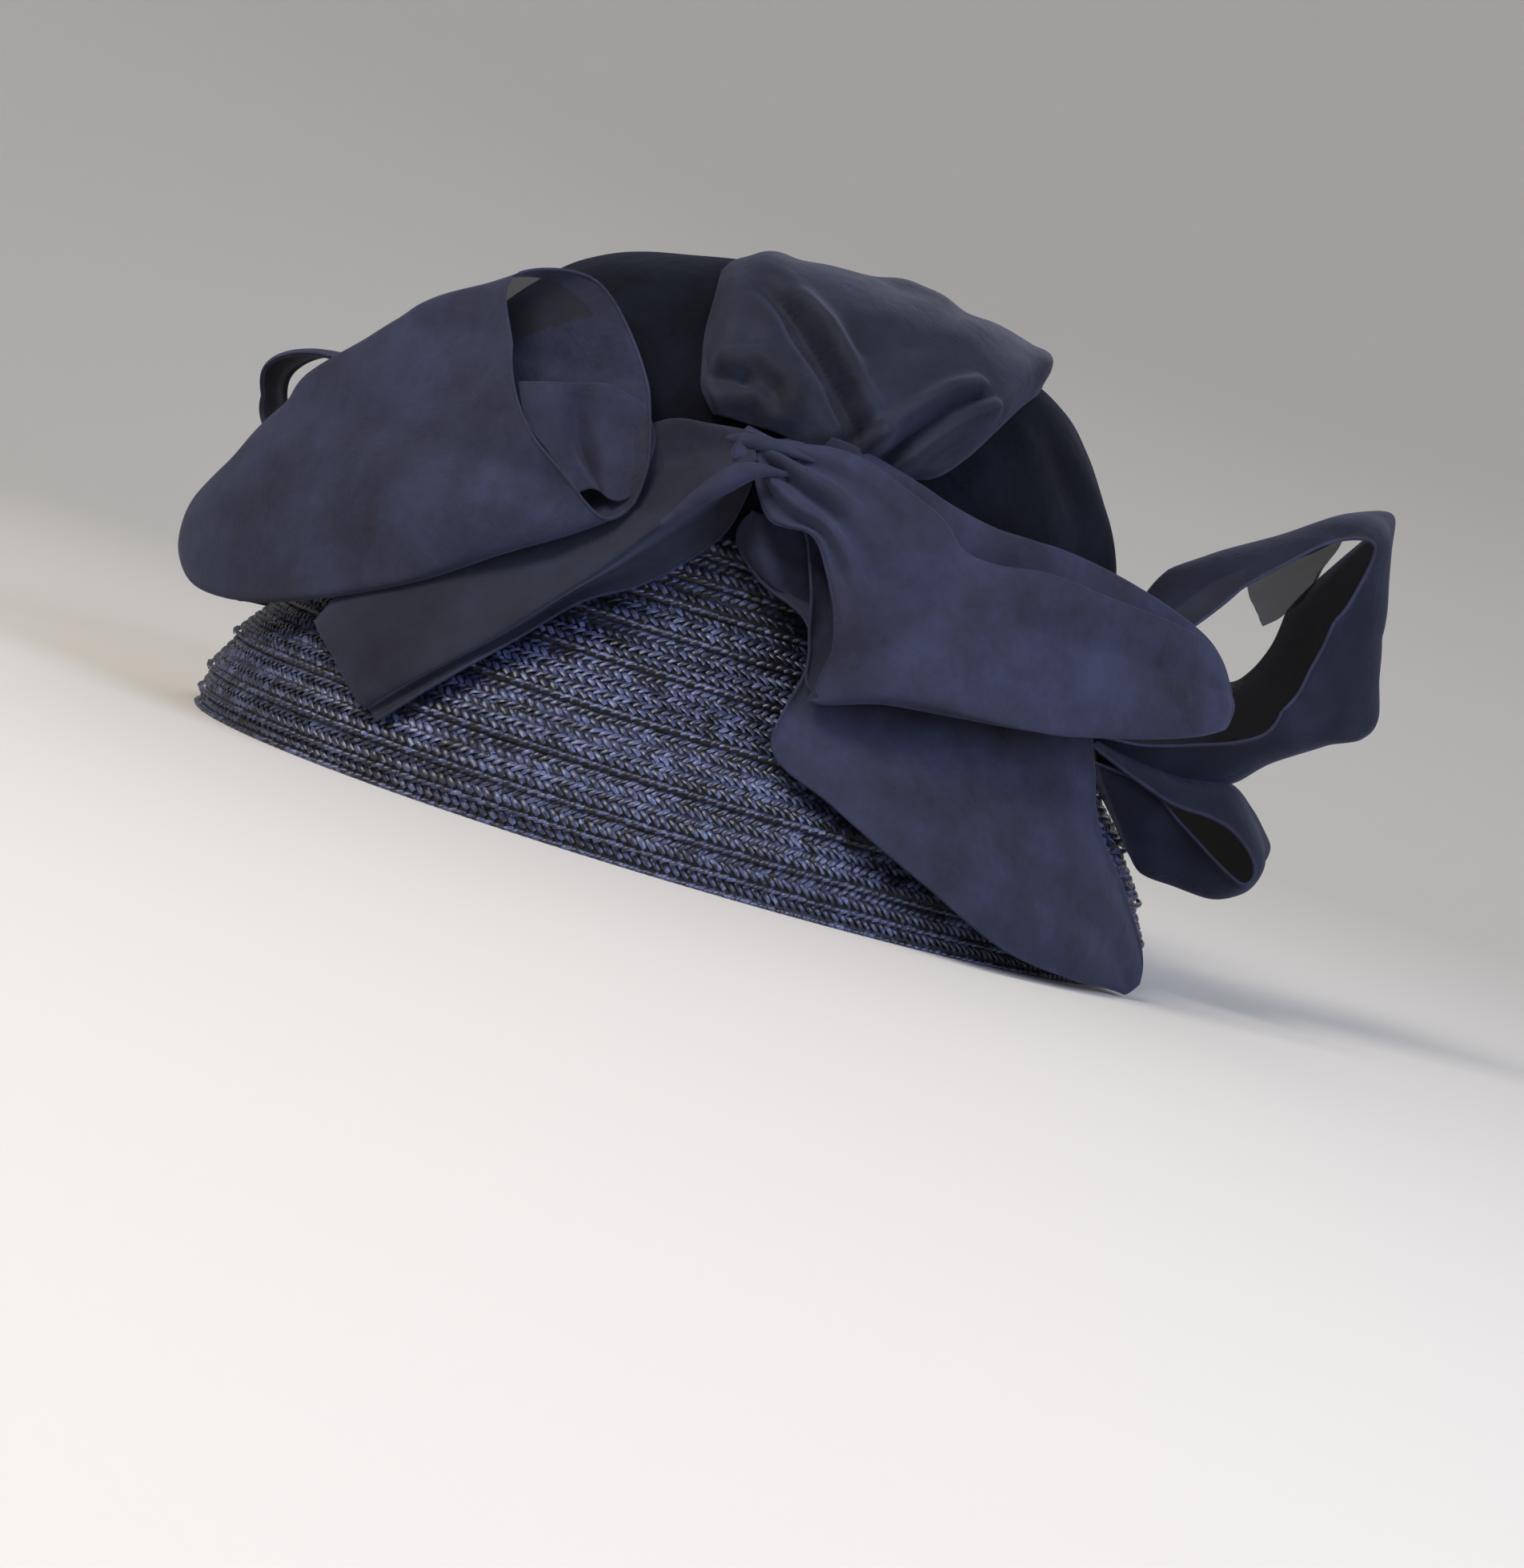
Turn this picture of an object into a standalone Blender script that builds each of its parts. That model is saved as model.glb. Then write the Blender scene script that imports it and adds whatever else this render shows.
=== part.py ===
"""A bell-brimmed hat of sewn straw braid, with an organza crown cover and a large organza bow.

Metres. The front of the hat is -Y, the wearer's left is +X, up is +Z. The rim rests on Z = 0.
"""
import math

import bmesh
import bpy
from mathutils import Vector

# Straw body: the head oval is measured outside, where the brim meets the crown
HEAD_LENGTH = 0.197
HEAD_WIDTH = 0.167
BRIM_DEPTH = 0.084
BRIM_FLARE = 0.040
CROWN_RISE = 0.060
STRAW_WALL = 0.002
BRAID_WIDTH = 0.0105
EDGE_BRAID_WIDTH = 0.0055
EDGE_BRAIDS = 2
BRAID_STEP = 0.0007

# Lining of the brim
LINING_WALL = 0.001
LINING_MARGIN = 0.013
LINING_RISE = 0.010

# Organza
CLOTH = 0.001
CLEARANCE = 0.0004
DRAPE_RISE = 0.0715
DRAPE_BULGE = 0.004
DRAPE_FOLDS = 9
DRAPE_FOLD_DEPTH = 0.0016
PUFF_LIFT = 0.009
PUFF_PLEATS = 4
PUFF_PLEAT_DEPTH = 0.0035
PUFF_LEFT_EDGE = 0.16
PUFF_RIGHT_EDGE = 0.10
PUFF_PLEAT_DRIFT = 20.0
BOW_RISE = 0.100
BOW_STAND = 0.100
KNOT_HEIGHT = 0.023
KNOT_DEPTH = 0.015
KNOT_PLEATS = 6
KNOT_PLEAT_DEPTH = 0.0008
BACK_KNOT_HEIGHT = 0.030
BACK_KNOT_DEPTH = 0.014

# The bow faces this way, in degrees from the front of the hat towards the wearer's left
BOW_TURN = 48.0
KNOT_TURN = -3.0
KNOT_HALF_TURN = 5.2
KNOT_GAP_TURN = 0.5
KNOT_UP = 1.03
BACK_KNOT_TURN = 88.0
BACK_KNOT_HALF_TURN = 6.5
BACK_KNOT_UP = 0.83

# The axis of the hat stands here, so that the whole hat with its bow is centred on the origin
AXIS_X = -0.0067
AXIS_Y = -0.0127

# Up to this share of the bow's rise its heights follow the depth of the brim
FOOT_UP = 0.84
# From this share of the brim's depth up, the bow clears the foot of the organza cover, step by step
SEAT_RAMP = 0.80
SEAT_RAMP_SPAN = 0.10
# Above this share of its rise the organza cover rounds over, and the bow no longer follows it
BOW_SEAT_TOP = 0.40
# The puff clears the flat facets under it by this
PUFF_CLEARANCE = 0.0008

# Mesh steps
ROUND = 40
SHEET_STEPS = 2
PUFF_ACROSS = 16
KNOT_ROUND = 12
SLOPE_STEPS = 400

# Brim from the rim up to the crown: share of its depth, share of its flare
BRIM_PROFILE = ((0.0, 1.0), (0.11, 1.0), (0.23, 0.91), (0.36, 0.76), (0.49, 0.54), (0.62, 0.31),
                (0.75, 0.15), (0.88, 0.05), (1.0, 0.0))
# Straw crown: share of its rise, share of the head oval
CROWN_PROFILE = ((0.25, 0.985), (0.55, 0.94), (0.78, 0.86), (0.92, 0.72), (0.98, 0.50), (1.0, 0.22))
# Organza cover: share of its rise, share of the head oval, share of the bulge
DRAPE_PROFILE = ((0.0, 1.0, 0.0), (0.12, 1.0, 0.7), (0.28, 0.985, 1.0), (0.45, 0.95, 0.7),
                 (0.60, 0.885, 0.5), (0.74, 0.81, 0.3), (0.86, 0.71, 0.2), (0.95, 0.55, 0.0),
                 (0.99, 0.32, 0.0), (1.0, 0.12, 0.0))

NAVY_STRAW = (0.012, 0.016, 0.040, 1.0)
NAVY_SILK = (0.018, 0.024, 0.060, 1.0)
NAVY_LINING = (0.008, 0.009, 0.018, 1.0)


def interpolate(table, at, column=1):
    """Value of a column at a place between two rows of a table."""
    for low, high in zip(table, table[1:]):
        if at <= high[0]:
            part = max(0.0, (at - low[0]) / (high[0] - low[0]))
            return low[column] + (high[column] - low[column]) * part
    return table[-1][column]


def flare_at(height):
    """How far the straw stands out from the head oval at a height."""
    return BRIM_FLARE * interpolate(BRIM_PROFILE, height / BRIM_DEPTH)


def bow_direction(turn):
    """Level direction, turned from the bow towards the back of the hat."""
    angle = math.radians(BOW_TURN + turn)
    return Vector((math.sin(angle), -math.cos(angle), 0.0))


def oval_reach(direction, spread=0.0, share=1.0):
    """Distance from the axis to the head oval, enlarged by a spread, along a level direction."""
    half_width = HEAD_WIDTH / 2 * share + spread
    half_length = HEAD_LENGTH / 2 * share + spread
    return 1.0 / math.hypot(direction.x / half_width, direction.y / half_length)


def drape_rows():
    """Organza cover outside: it starts just clear of the straw."""
    start = BRAID_STEP + CLEARANCE + CLOTH
    return [(share, start + DRAPE_BULGE * bulge, BRIM_DEPTH + DRAPE_RISE * rise)
            for rise, share, bulge in DRAPE_PROFILE]


def fold_swell(rise):
    """Depth of the cover's folds at a share of its rise."""
    return DRAPE_FOLD_DEPTH * math.sin(math.pi * rise) ** 2


def seat_reach(direction, height):
    """Distance from the axis to the surface that the bow lies on: straw below, organza above."""
    if height <= BRIM_DEPTH:
        near_foot = min(1.0, max(0.0, (height / BRIM_DEPTH - SEAT_RAMP) / SEAT_RAMP_SPAN))
        cover = (CLOTH + CLEARANCE) * near_foot
        return oval_reach(direction, flare_at(height) + BRAID_STEP + CLEARANCE + cover)
    rise = min((height - BRIM_DEPTH) / DRAPE_RISE, BOW_SEAT_TOP)
    table = [(row[0], profile[1], profile[0]) for row, profile in zip(DRAPE_PROFILE, drape_rows())]
    spread, share = interpolate(table, rise, 1), interpolate(table, rise, 2)
    return oval_reach(direction, spread + fold_swell(rise) + CLEARANCE, share)


def bow_height(up):
    """Height of a share of the bow's rise: with the brim below the crown's foot, over it above."""
    if up <= FOOT_UP:
        return BRIM_DEPTH * up / FOOT_UP
    return BRIM_DEPTH + (up - FOOT_UP) * BOW_RISE


def on_hat(turn, up, lift):
    """Place on the hat: turn in degrees, up as a share of the bow's rise, lift of its stand."""
    height = bow_height(up)
    direction = bow_direction(turn)
    reach = seat_reach(direction, height) + lift * BOW_STAND
    return Vector((AXIS_X, AXIS_Y, 0)) + direction * reach + Vector((0, 0, height))


def through(rows, steps):
    """Rows with steps added between them, on a smooth curve through every column."""
    found = []
    for i in range(len(rows) - 1):
        before, start = rows[max(i - 1, 0)], rows[i]
        end, after = rows[i + 1], rows[min(i + 2, len(rows) - 1)]
        for step in range(steps):
            t = step / steps
            found.append(tuple(
                0.5 * (2 * b + (c - a) * t + (2 * a - 5 * b + 4 * c - d) * t * t
                       + (3 * b - a - 3 * c + d) * t ** 3)
                for a, b, c, d in zip(before, start, end, after)))
    found.append(tuple(rows[-1]))
    return found


def finish_piece(name, mesh_builder, material, closed=True):
    """One named object from a bmesh; an open sheet's first face is turned away from the hat."""
    bmesh.ops.recalc_face_normals(mesh_builder, faces=mesh_builder.faces)
    mesh_builder.faces.ensure_lookup_table()
    first = mesh_builder.faces[0]
    outwards = first.calc_center_median() - Vector((AXIS_X, AXIS_Y, 0))
    outwards.z = 0
    if not closed and first.normal.dot(outwards) < 0:
        bmesh.ops.reverse_faces(mesh_builder, faces=mesh_builder.faces)
    mesh = bpy.data.meshes.new(name)
    mesh_builder.to_mesh(mesh)
    mesh_builder.free()
    mesh.materials.append(material)
    mesh.shade_smooth()
    mesh.set_sharp_from_angle(angle=math.radians(50))
    piece = bpy.data.objects.new(name, mesh)
    bpy.context.scene.collection.objects.link(piece)
    return piece


def cloth_material(name, colour, roughness):
    """A plain material for one piece."""
    material = bpy.data.materials.new(name)
    material.use_nodes = True
    shader = material.node_tree.nodes["Principled BSDF"]
    shader.inputs["Base Color"].default_value = colour
    shader.inputs["Roughness"].default_value = roughness
    return material


def add_faces(builder, rings, closed=False):
    """Quads between rings of vertices."""
    for lower, upper in zip(rings, rings[1:]):
        count = len(lower)
        for i in range(count if closed else count - 1):
            j = (i + 1) % count
            builder.faces.new((lower[i], lower[j], upper[j], upper[i]))


def cap_ring(builder, ring):
    """Close a ring with triangles round its middle."""
    middle = builder.verts.new(sum((v.co for v in ring), Vector()) / len(ring))
    for i in range(len(ring)):
        builder.faces.new((ring[i], ring[(i + 1) % len(ring)], middle))


def shell_of_turning(name, outer, inner, around, material, wave=None, top_closed=True):
    """A wall between two profiles turned round the head oval.

    A profile row is a share of the oval, a spread and a height.
    """
    builder = bmesh.new()
    rings = []
    for rows in (outer, inner):
        for share, spread, height in rows:
            ring = []
            for i in range(around):
                turn = 360.0 * i / around
                direction = bow_direction(turn)
                extra = wave(turn, height) if wave else 0.0
                reach = oval_reach(direction, spread, share) + extra
                ring.append(builder.verts.new(
                    Vector((AXIS_X, AXIS_Y, height)) + direction * reach))
            rings.append(ring)
    count = len(outer)
    add_faces(builder, rings[:count], closed=True)
    add_faces(builder, rings[count:], closed=True)
    add_faces(builder, (rings[0], rings[count]), closed=True)
    if top_closed:
        cap_ring(builder, rings[count - 1])
        cap_ring(builder, rings[-1])
    else:
        add_faces(builder, (rings[count - 1], rings[-1]), closed=True)
    return finish_piece(name, builder, material)


def offset_rows(rows, inward):
    """Rows moved inwards across the wall, by the slope of the section half way round."""
    radius = (HEAD_LENGTH + HEAD_WIDTH) / 4
    moved = []
    for i, (share, spread, height) in enumerate(rows):
        low, high = rows[max(i - 1, 0)], rows[min(i + 1, len(rows) - 1)]
        run = (high[0] - low[0]) * radius + high[1] - low[1]
        rise = high[2] - low[2]
        length = math.hypot(run, rise)
        level = i == 0
        out, up = (1.0, 0.0) if level else (rise / length, -run / length)
        moved.append((share, spread - inward * out, height - inward * up))
    return moved


def inside_rows():
    """Plain rows of the straw wall, with a row at each edge of the lining."""
    crown = ((0.0, 1.0),) + CROWN_PROFILE
    heights = [BRIM_DEPTH * share for share, _ in BRIM_PROFILE]
    heights += [BRIM_DEPTH + CROWN_RISE * rise for rise, _ in CROWN_PROFILE]
    heights += [LINING_MARGIN, BRIM_DEPTH + LINING_RISE]
    rows = []
    for height in sorted(set(heights)):
        share = interpolate(crown, (height - BRIM_DEPTH) / CROWN_RISE)
        rows.append((share, flare_at(height), height))
    return rows


def braid_heights():
    """Heights of the seams between rows of braid, measured along the slope."""
    seams, slope, height, row = [0.0], 0.0, 0.0, 0
    rise = BRIM_DEPTH / SLOPE_STEPS
    while height < BRIM_DEPTH:
        slope += math.hypot(rise, flare_at(height + rise) - flare_at(height))
        height += rise
        width = EDGE_BRAID_WIDTH if row < EDGE_BRAIDS else BRAID_WIDTH
        if slope >= width:
            seams.append(height)
            slope = 0.0
            row += 1
    return seams


def crown_rows():
    """Straw crown above the brim."""
    return [(share, 0.0, BRIM_DEPTH + CROWN_RISE * rise) for rise, share in CROWN_PROFILE]


def make_straw_body():
    """Crown and brim in one: every row of braid laps over the one above it."""
    seams = braid_heights()
    outer = []
    for low, high in zip(seams, seams[1:]):
        outer.append((1.0, flare_at(low) + BRAID_STEP, low))
        outer.append((1.0, flare_at(high), high))
    foot = [(1.0, BRAID_STEP, BRIM_DEPTH)] if seams[-1] < BRIM_DEPTH - BRAID_WIDTH / 4 else []
    outer += foot + crown_rows()
    inner = offset_rows(inside_rows(), STRAW_WALL)
    material = cloth_material("navy_straw_braid", NAVY_STRAW, 0.42)
    return shell_of_turning("straw_body", outer, inner, ROUND, material)


def make_brim_lining():
    """Dark lining from a margin above the rim to just inside the crown."""
    rows = inside_rows()
    lined = [i for i, row in enumerate(rows) if LINING_MARGIN <= row[2] <= BRIM_DEPTH + LINING_RISE]
    outer = offset_rows(rows, STRAW_WALL + CLEARANCE)[lined[0]:lined[-1] + 1]
    inner = offset_rows(rows, STRAW_WALL + CLEARANCE + LINING_WALL)[lined[0]:lined[-1] + 1]
    material = cloth_material("dark_lining", NAVY_LINING, 0.7)
    return shell_of_turning("brim_lining", outer, inner, ROUND, material, top_closed=False)


def drape_wave(turn, height):
    """Soft upright folds, flat at the foot and at the top."""
    rise = min(1.0, max(0.0, (height - BRIM_DEPTH) / DRAPE_RISE))
    return fold_swell(rise) * math.sin(math.radians(turn) * DRAPE_FOLDS + 3 * rise)


def make_crown_drape():
    """Organza over the whole crown, with soft folds."""
    outer = drape_rows()
    material = cloth_material("organza_crown", NAVY_SILK, 0.55)
    return shell_of_turning("crown_drape", outer, offset_rows(outer, CLOTH), ROUND, material,
                            wave=drape_wave)


def dome_reach(direction):
    """Distance from the middle of the crown's foot to the organza cover, along a direction."""
    level = Vector((direction.x, direction.y, 0.0))
    rows = drape_rows()
    table = [(profile[0], row[0], row[1]) for profile, row in zip(DRAPE_PROFILE, rows)]
    low, high = 0.0, HEAD_LENGTH
    for _ in range(30):
        middle = (low + high) / 2
        rise = middle * direction.z / DRAPE_RISE
        inside = rise < 1.0
        if inside and level.length > 1e-6:
            share, spread = interpolate(table, rise, 1), interpolate(table, rise, 2)
            reach = oval_reach(level.normalized(), spread + DRAPE_FOLD_DEPTH, share)
            inside = middle * level.length < reach
        low, high = (middle, high) if inside else (low, middle)
    return low


def over_dome(roll, tilt, lift):
    """Place over the crown: roll from the bow over the top, tilt to the side, lift in metres."""
    roll, tilt = math.radians(roll), math.radians(tilt)
    forward, side = bow_direction(0.0), bow_direction(90.0)
    direction = (forward * math.cos(roll) + Vector((0, 0, math.sin(roll)))) * math.cos(tilt)
    direction += side * math.sin(tilt)
    return Vector((AXIS_X, AXIS_Y, BRIM_DEPTH)) + direction * (dome_reach(direction) + lift)


# Puff: roll over the crown, left and right tilt, all in degrees, and share of the puff's lift
PUFF_ROWS = ((18.5, -14, 9, 0.15), (24, -18, 22, 0.55), (34, -21, 34, 0.9), (46, -23, 42, 1.1),
             (60, -24, 46, 1.1), (80, -25, 47, 0.9), (105, -25, 44, 0.7), (130, -24, 38, 0.5),
             (150, -20, 30, 0.2))


def make_crown_puff():
    """Swath from the knot over the crown: pleated at the knot, loose over the side."""
    builder = bmesh.new()
    rings = []
    for roll, left, right, lift in through(PUFF_ROWS, SHEET_STEPS):
        ring = []
        for i in range(PUFF_ACROSS + 1):
            share = i / PUFF_ACROSS
            body = min(1.0, share / PUFF_LEFT_EDGE, (1.0 - share) / PUFF_RIGHT_EDGE)
            body = math.sin(body * math.pi / 2)
            wave = math.tau * PUFF_PLEATS * share + roll / PUFF_PLEAT_DRIFT
            pleat = (1 + math.cos(wave)) / 2
            height = PUFF_LIFT * lift * body + PUFF_PLEAT_DEPTH * pleat * body * min(1, lift * 2)
            ring.append(builder.verts.new(
                over_dome(roll, left + (right - left) * share, height + PUFF_CLEARANCE)))
        rings.append(ring)
    add_faces(builder, rings)
    return finish_sheet("crown_puff", builder)


def finish_sheet(name, builder):
    """One named sheet of organza with its wall, which grows away from what it lies on."""
    piece = finish_piece(name, builder, cloth_material(name + "_silk", NAVY_SILK, 0.55), closed=False)
    wall = piece.modifiers.new("wall", "SOLIDIFY")
    wall.thickness = CLOTH
    wall.offset = 1.0
    wall.use_rim = True
    return piece


# Roots of the front bow meet the ends of its knot, and those of the back loops its outer face
LEFT_END = KNOT_TURN - KNOT_HALF_TURN - KNOT_GAP_TURN
RIGHT_END = KNOT_TURN + KNOT_HALF_TURN + KNOT_GAP_TURN
BACK_FACE = (BACK_KNOT_DEPTH + 2 * KNOT_PLEAT_DEPTH + CLEARANCE) / BOW_STAND

# Every point of the bow is a turn in degrees, a share of BOW_RISE and a share of BOW_STAND.
# Left loop, a sleeve from its open mouth to its tip: front high, front, low, back, back high
LEFT_LOOP = (
    ((-39.0, 1.29, 0.17), (-28.5, 0.89, 0.31), (-18.3, 0.78, 0.26),
     (-25.0, 1.17, 0.09), (-36.0, 1.35, 0.11)),
    ((-46.8, 1.17, 0.22), (-37.5, 0.90, 0.33), (-25.1, 0.67, 0.24),
     (-33.5, 0.99, 0.15), (-45.2, 1.21, 0.18)),
    ((-54.8, 1.09, 0.27), (-45.5, 0.80, 0.33), (-33.8, 0.53, 0.22),
     (-42.5, 0.84, 0.15), (-53.8, 1.12, 0.23)),
    ((-61.5, 0.95, 0.34), (-54.0, 0.68, 0.34), (-44.2, 0.43, 0.17),
     (-51.5, 0.71, 0.16), (-60.7, 0.98, 0.30)),
    ((-68.0, 0.76, 0.44), (-62.0, 0.54, 0.36), (-54.8, 0.32, 0.13),
     (-60.5, 0.56, 0.20), (-67.2, 0.79, 0.40)),
    ((-73.5, 0.61, 0.45), (-69.5, 0.45, 0.38), (-65.2, 0.29, 0.16),
     (-69.0, 0.46, 0.24), (-73.0, 0.63, 0.42)),
    ((-77.5, 0.46, 0.40), (-76.0, 0.41, 0.37), (-73.8, 0.34, 0.27),
     (-75.2, 0.41, 0.29), (-77.2, 0.48, 0.37)),
)
# Root of the left loop, from the lower half of its back to the knot: high, middle, low
LEFT_LOOP_ROOT = (
    ((-20.0, 1.20, 0.06), (-18.5, 1.16, 0.06), (-17.0, 1.12, 0.05)),
    ((LEFT_END, 1.13, 0.02), (LEFT_END, 1.115, 0.02), (LEFT_END, 1.10, 0.02)),
)
# Left tail, folded along its top: front low edge, front, fold, back, back low edge
LEFT_TAIL = (
    ((LEFT_END, 0.96, 0.11), (LEFT_END, 1.02, 0.12), (LEFT_END, 1.08, 0.09),
     (LEFT_END, 1.02, 0.06), (LEFT_END, 0.96, 0.05)),
    ((-11.0, 0.81, 0.10), (-12.0, 0.94, 0.11), (-13.5, 1.06, 0.07),
     (-12.0, 0.93, 0.05), (-10.6, 0.79, 0.04)),
    ((-14.5, 0.69, 0.10), (-16.5, 0.84, 0.10), (-19.5, 0.97, 0.05),
     (-16.5, 0.83, 0.03), (-13.6, 0.67, 0.04)),
    ((-19.3, 0.58, 0.10), (-23.5, 0.74, 0.09), (-28.0, 0.88, 0.055),
     (-23.5, 0.73, 0.03), (-18.6, 0.56, 0.04)),
    ((-23.8, 0.42, 0.09), (-30.0, 0.56, 0.08), (-36.7, 0.69, 0.06),
     (-30.0, 0.55, 0.03), (-23.4, 0.40, 0.04)),
    ((-29.0, 0.28, 0.07), (-36.0, 0.38, 0.07), (-43.9, 0.47, 0.06),
     (-36.0, 0.37, 0.03), (-28.8, 0.26, 0.03)),
    ((-35.9, 0.15, 0.06), (-42.5, 0.22, 0.07), (-50.0, 0.30, 0.06),
     (-42.5, 0.21, 0.03), (-35.7, 0.14, 0.03)),
)
# Right loop, folded along its bottom: front high edge, front, front low, back low, back, back high
RIGHT_LOOP = (
    ((RIGHT_END, 1.10, 0.10), (RIGHT_END, 1.04, 0.13), (RIGHT_END, 0.98, 0.12),
     (RIGHT_END, 0.98, 0.06), (RIGHT_END, 1.03, 0.04), (RIGHT_END, 1.09, 0.04)),
    ((7.5, 1.10, 0.12), (7.0, 1.00, 0.17), (6.0, 0.90, 0.16),
     (5.2, 0.87, 0.09), (6.6, 0.96, 0.06), (7.8, 1.07, 0.04)),
    ((14.9, 1.07, 0.14), (12.8, 0.94, 0.21), (10.0, 0.80, 0.25),
     (8.2, 0.80, 0.14), (12.0, 0.93, 0.08), (16.5, 1.07, 0.05)),
    ((22.1, 1.00, 0.19), (17.4, 0.82, 0.26), (11.7, 0.63, 0.27),
     (10.2, 0.66, 0.17), (17.0, 0.86, 0.12), (25.0, 1.07, 0.09)),
    ((28.0, 0.96, 0.23), (20.5, 0.73, 0.26), (11.6, 0.50, 0.21),
     (12.2, 0.52, 0.15), (21.5, 0.78, 0.13), (32.5, 1.05, 0.12)),
    ((37.6, 0.96, 0.30), (31.0, 0.75, 0.32), (23.5, 0.54, 0.27),
     (24.2, 0.56, 0.22), (33.0, 0.79, 0.20), (43.3, 1.02, 0.18)),
    ((48.1, 0.94, 0.34), (43.0, 0.76, 0.38), (37.2, 0.59, 0.36),
     (38.0, 0.61, 0.30), (45.5, 0.80, 0.27), (53.5, 1.00, 0.25)),
    ((59.2, 0.90, 0.41), (56.0, 0.77, 0.45), (52.1, 0.65, 0.43),
     (53.0, 0.67, 0.37), (58.0, 0.80, 0.36), (62.5, 0.94, 0.34)),
    ((68.0, 0.83, 0.48), (67.3, 0.78, 0.50), (66.3, 0.73, 0.50),
     (66.6, 0.75, 0.45), (68.0, 0.79, 0.44), (69.0, 0.84, 0.44)),
)
RIGHT_LOOP_MOUTH = 4
# Right tail, one sheet from under the knot to the rim: low edge, middle, high edge
RIGHT_TAIL = (
    ((-1.0, 0.88, 0.00), (2.5, 0.89, 0.00), (6.6, 0.90, 0.00)),
    ((4.5, 0.71, 0.05), (9.5, 0.80, 0.05), (15.0, 0.88, 0.02)),
    ((9.5, 0.57, 0.08), (17.5, 0.69, 0.08), (26.0, 0.81, 0.04)),
    ((8.8, 0.37, 0.05), (23.0, 0.56, 0.10), (38.0, 0.74, 0.10)),
    ((19.9, 0.23, 0.08), (33.5, 0.44, 0.14), (46.5, 0.65, 0.15)),
    ((31.7, 0.11, 0.10), (42.0, 0.31, 0.15), (51.8, 0.50, 0.17)),
    ((45.0, 0.04, 0.11), (51.0, 0.20, 0.15), (56.5, 0.35, 0.15)),
    ((58.0, 0.03, 0.09), (60.5, 0.11, 0.11), (62.5, 0.20, 0.12)),
    ((67.0, 0.04, 0.07), (67.0, 0.08, 0.08), (66.8, 0.13, 0.08)),
)
# Upper back loop, a strip out and back: near edge, middle, far edge
BACK_LOOP_UPPER = (
    ((85.5, 0.88, BACK_FACE), (88.0, 0.88, BACK_FACE), (90.5, 0.88, BACK_FACE)),
    ((76.0, 0.98, 0.23), (89.0, 1.02, 0.25), (101.0, 1.06, 0.24)),
    ((78.8, 1.08, 0.30), (92.0, 1.16, 0.34), (105.3, 1.22, 0.36)),
    ((84.2, 1.23, 0.41), (95.5, 1.33, 0.48), (107.1, 1.39, 0.53)),
    ((88.5, 1.38, 0.57), (98.0, 1.46, 0.66), (108.3, 1.49, 0.73)),
    ((90.0, 1.35, 0.64), (99.0, 1.42, 0.75), (108.7, 1.46, 0.82)),
    ((90.0, 1.15, 0.61), (98.5, 1.20, 0.75), (107.2, 1.22, 0.86)),
    ((88.1, 0.92, 0.56), (97.0, 0.96, 0.73), (105.7, 0.97, 0.87)),
    ((86.0, 0.75, 0.51), (95.5, 0.80, 0.63), (105.1, 0.85, 0.75)),
    ((83.0, 0.69, 0.38), (93.5, 0.71, 0.46), (104.3, 0.74, 0.56)),
    ((79.0, 0.69, 0.25), (90.0, 0.71, 0.28), (101.0, 0.74, 0.31)),
    ((85.5, 0.84, BACK_FACE), (88.0, 0.84, BACK_FACE), (90.5, 0.84, BACK_FACE)),
)
# Lower back loop: near edge, middle, far edge
BACK_LOOP_LOWER = (
    ((85.5, 0.81, BACK_FACE), (88.0, 0.81, BACK_FACE), (90.5, 0.81, BACK_FACE)),
    ((76.5, 0.62, 0.21), (87.0, 0.64, 0.24), (96.7, 0.65, 0.23)),
    ((78.4, 0.56, 0.29), (89.0, 0.60, 0.34), (99.3, 0.60, 0.35)),
    ((82.0, 0.51, 0.39), (91.5, 0.54, 0.46), (101.3, 0.55, 0.48)),
    ((84.8, 0.43, 0.43), (93.5, 0.46, 0.50), (101.9, 0.47, 0.54)),
    ((85.5, 0.37, 0.38), (93.5, 0.38, 0.44), (102.0, 0.39, 0.47)),
    ((83.6, 0.40, 0.31), (92.5, 0.38, 0.32), (101.4, 0.36, 0.31)),
    ((80.3, 0.47, 0.24), (90.0, 0.43, 0.21), (100.1, 0.39, 0.19)),
    ((80.5, 0.57, 0.17), (88.5, 0.54, 0.15), (96.5, 0.52, 0.14)),
    ((85.5, 0.77, BACK_FACE), (88.0, 0.77, BACK_FACE), (90.5, 0.77, BACK_FACE)),
)
# Small loop on the far side: near edge, middle, far edge
FAR_LOOP = (
    ((-92.0, 0.97, 0.00), (-95.0, 0.97, 0.00), (-98.0, 0.97, 0.00)),
    ((-88.0, 0.99, 0.20), (-95.5, 1.01, 0.22), (-103.0, 1.02, 0.22)),
    ((-89.5, 0.99, 0.38), (-96.5, 1.00, 0.42), (-103.5, 1.01, 0.43)),
    ((-91.0, 0.93, 0.50), (-97.0, 0.94, 0.54), (-103.5, 0.94, 0.54)),
    ((-92.0, 0.84, 0.53), (-97.5, 0.84, 0.57), (-103.5, 0.84, 0.57)),
    ((-91.0, 0.76, 0.47), (-96.5, 0.75, 0.50), (-102.5, 0.75, 0.51)),
    ((-89.0, 0.74, 0.31), (-94.5, 0.74, 0.33), (-100.5, 0.74, 0.34)),
    ((-92.0, 0.83, 0.00), (-95.0, 0.83, 0.00), (-98.0, 0.83, 0.00)),
)
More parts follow.
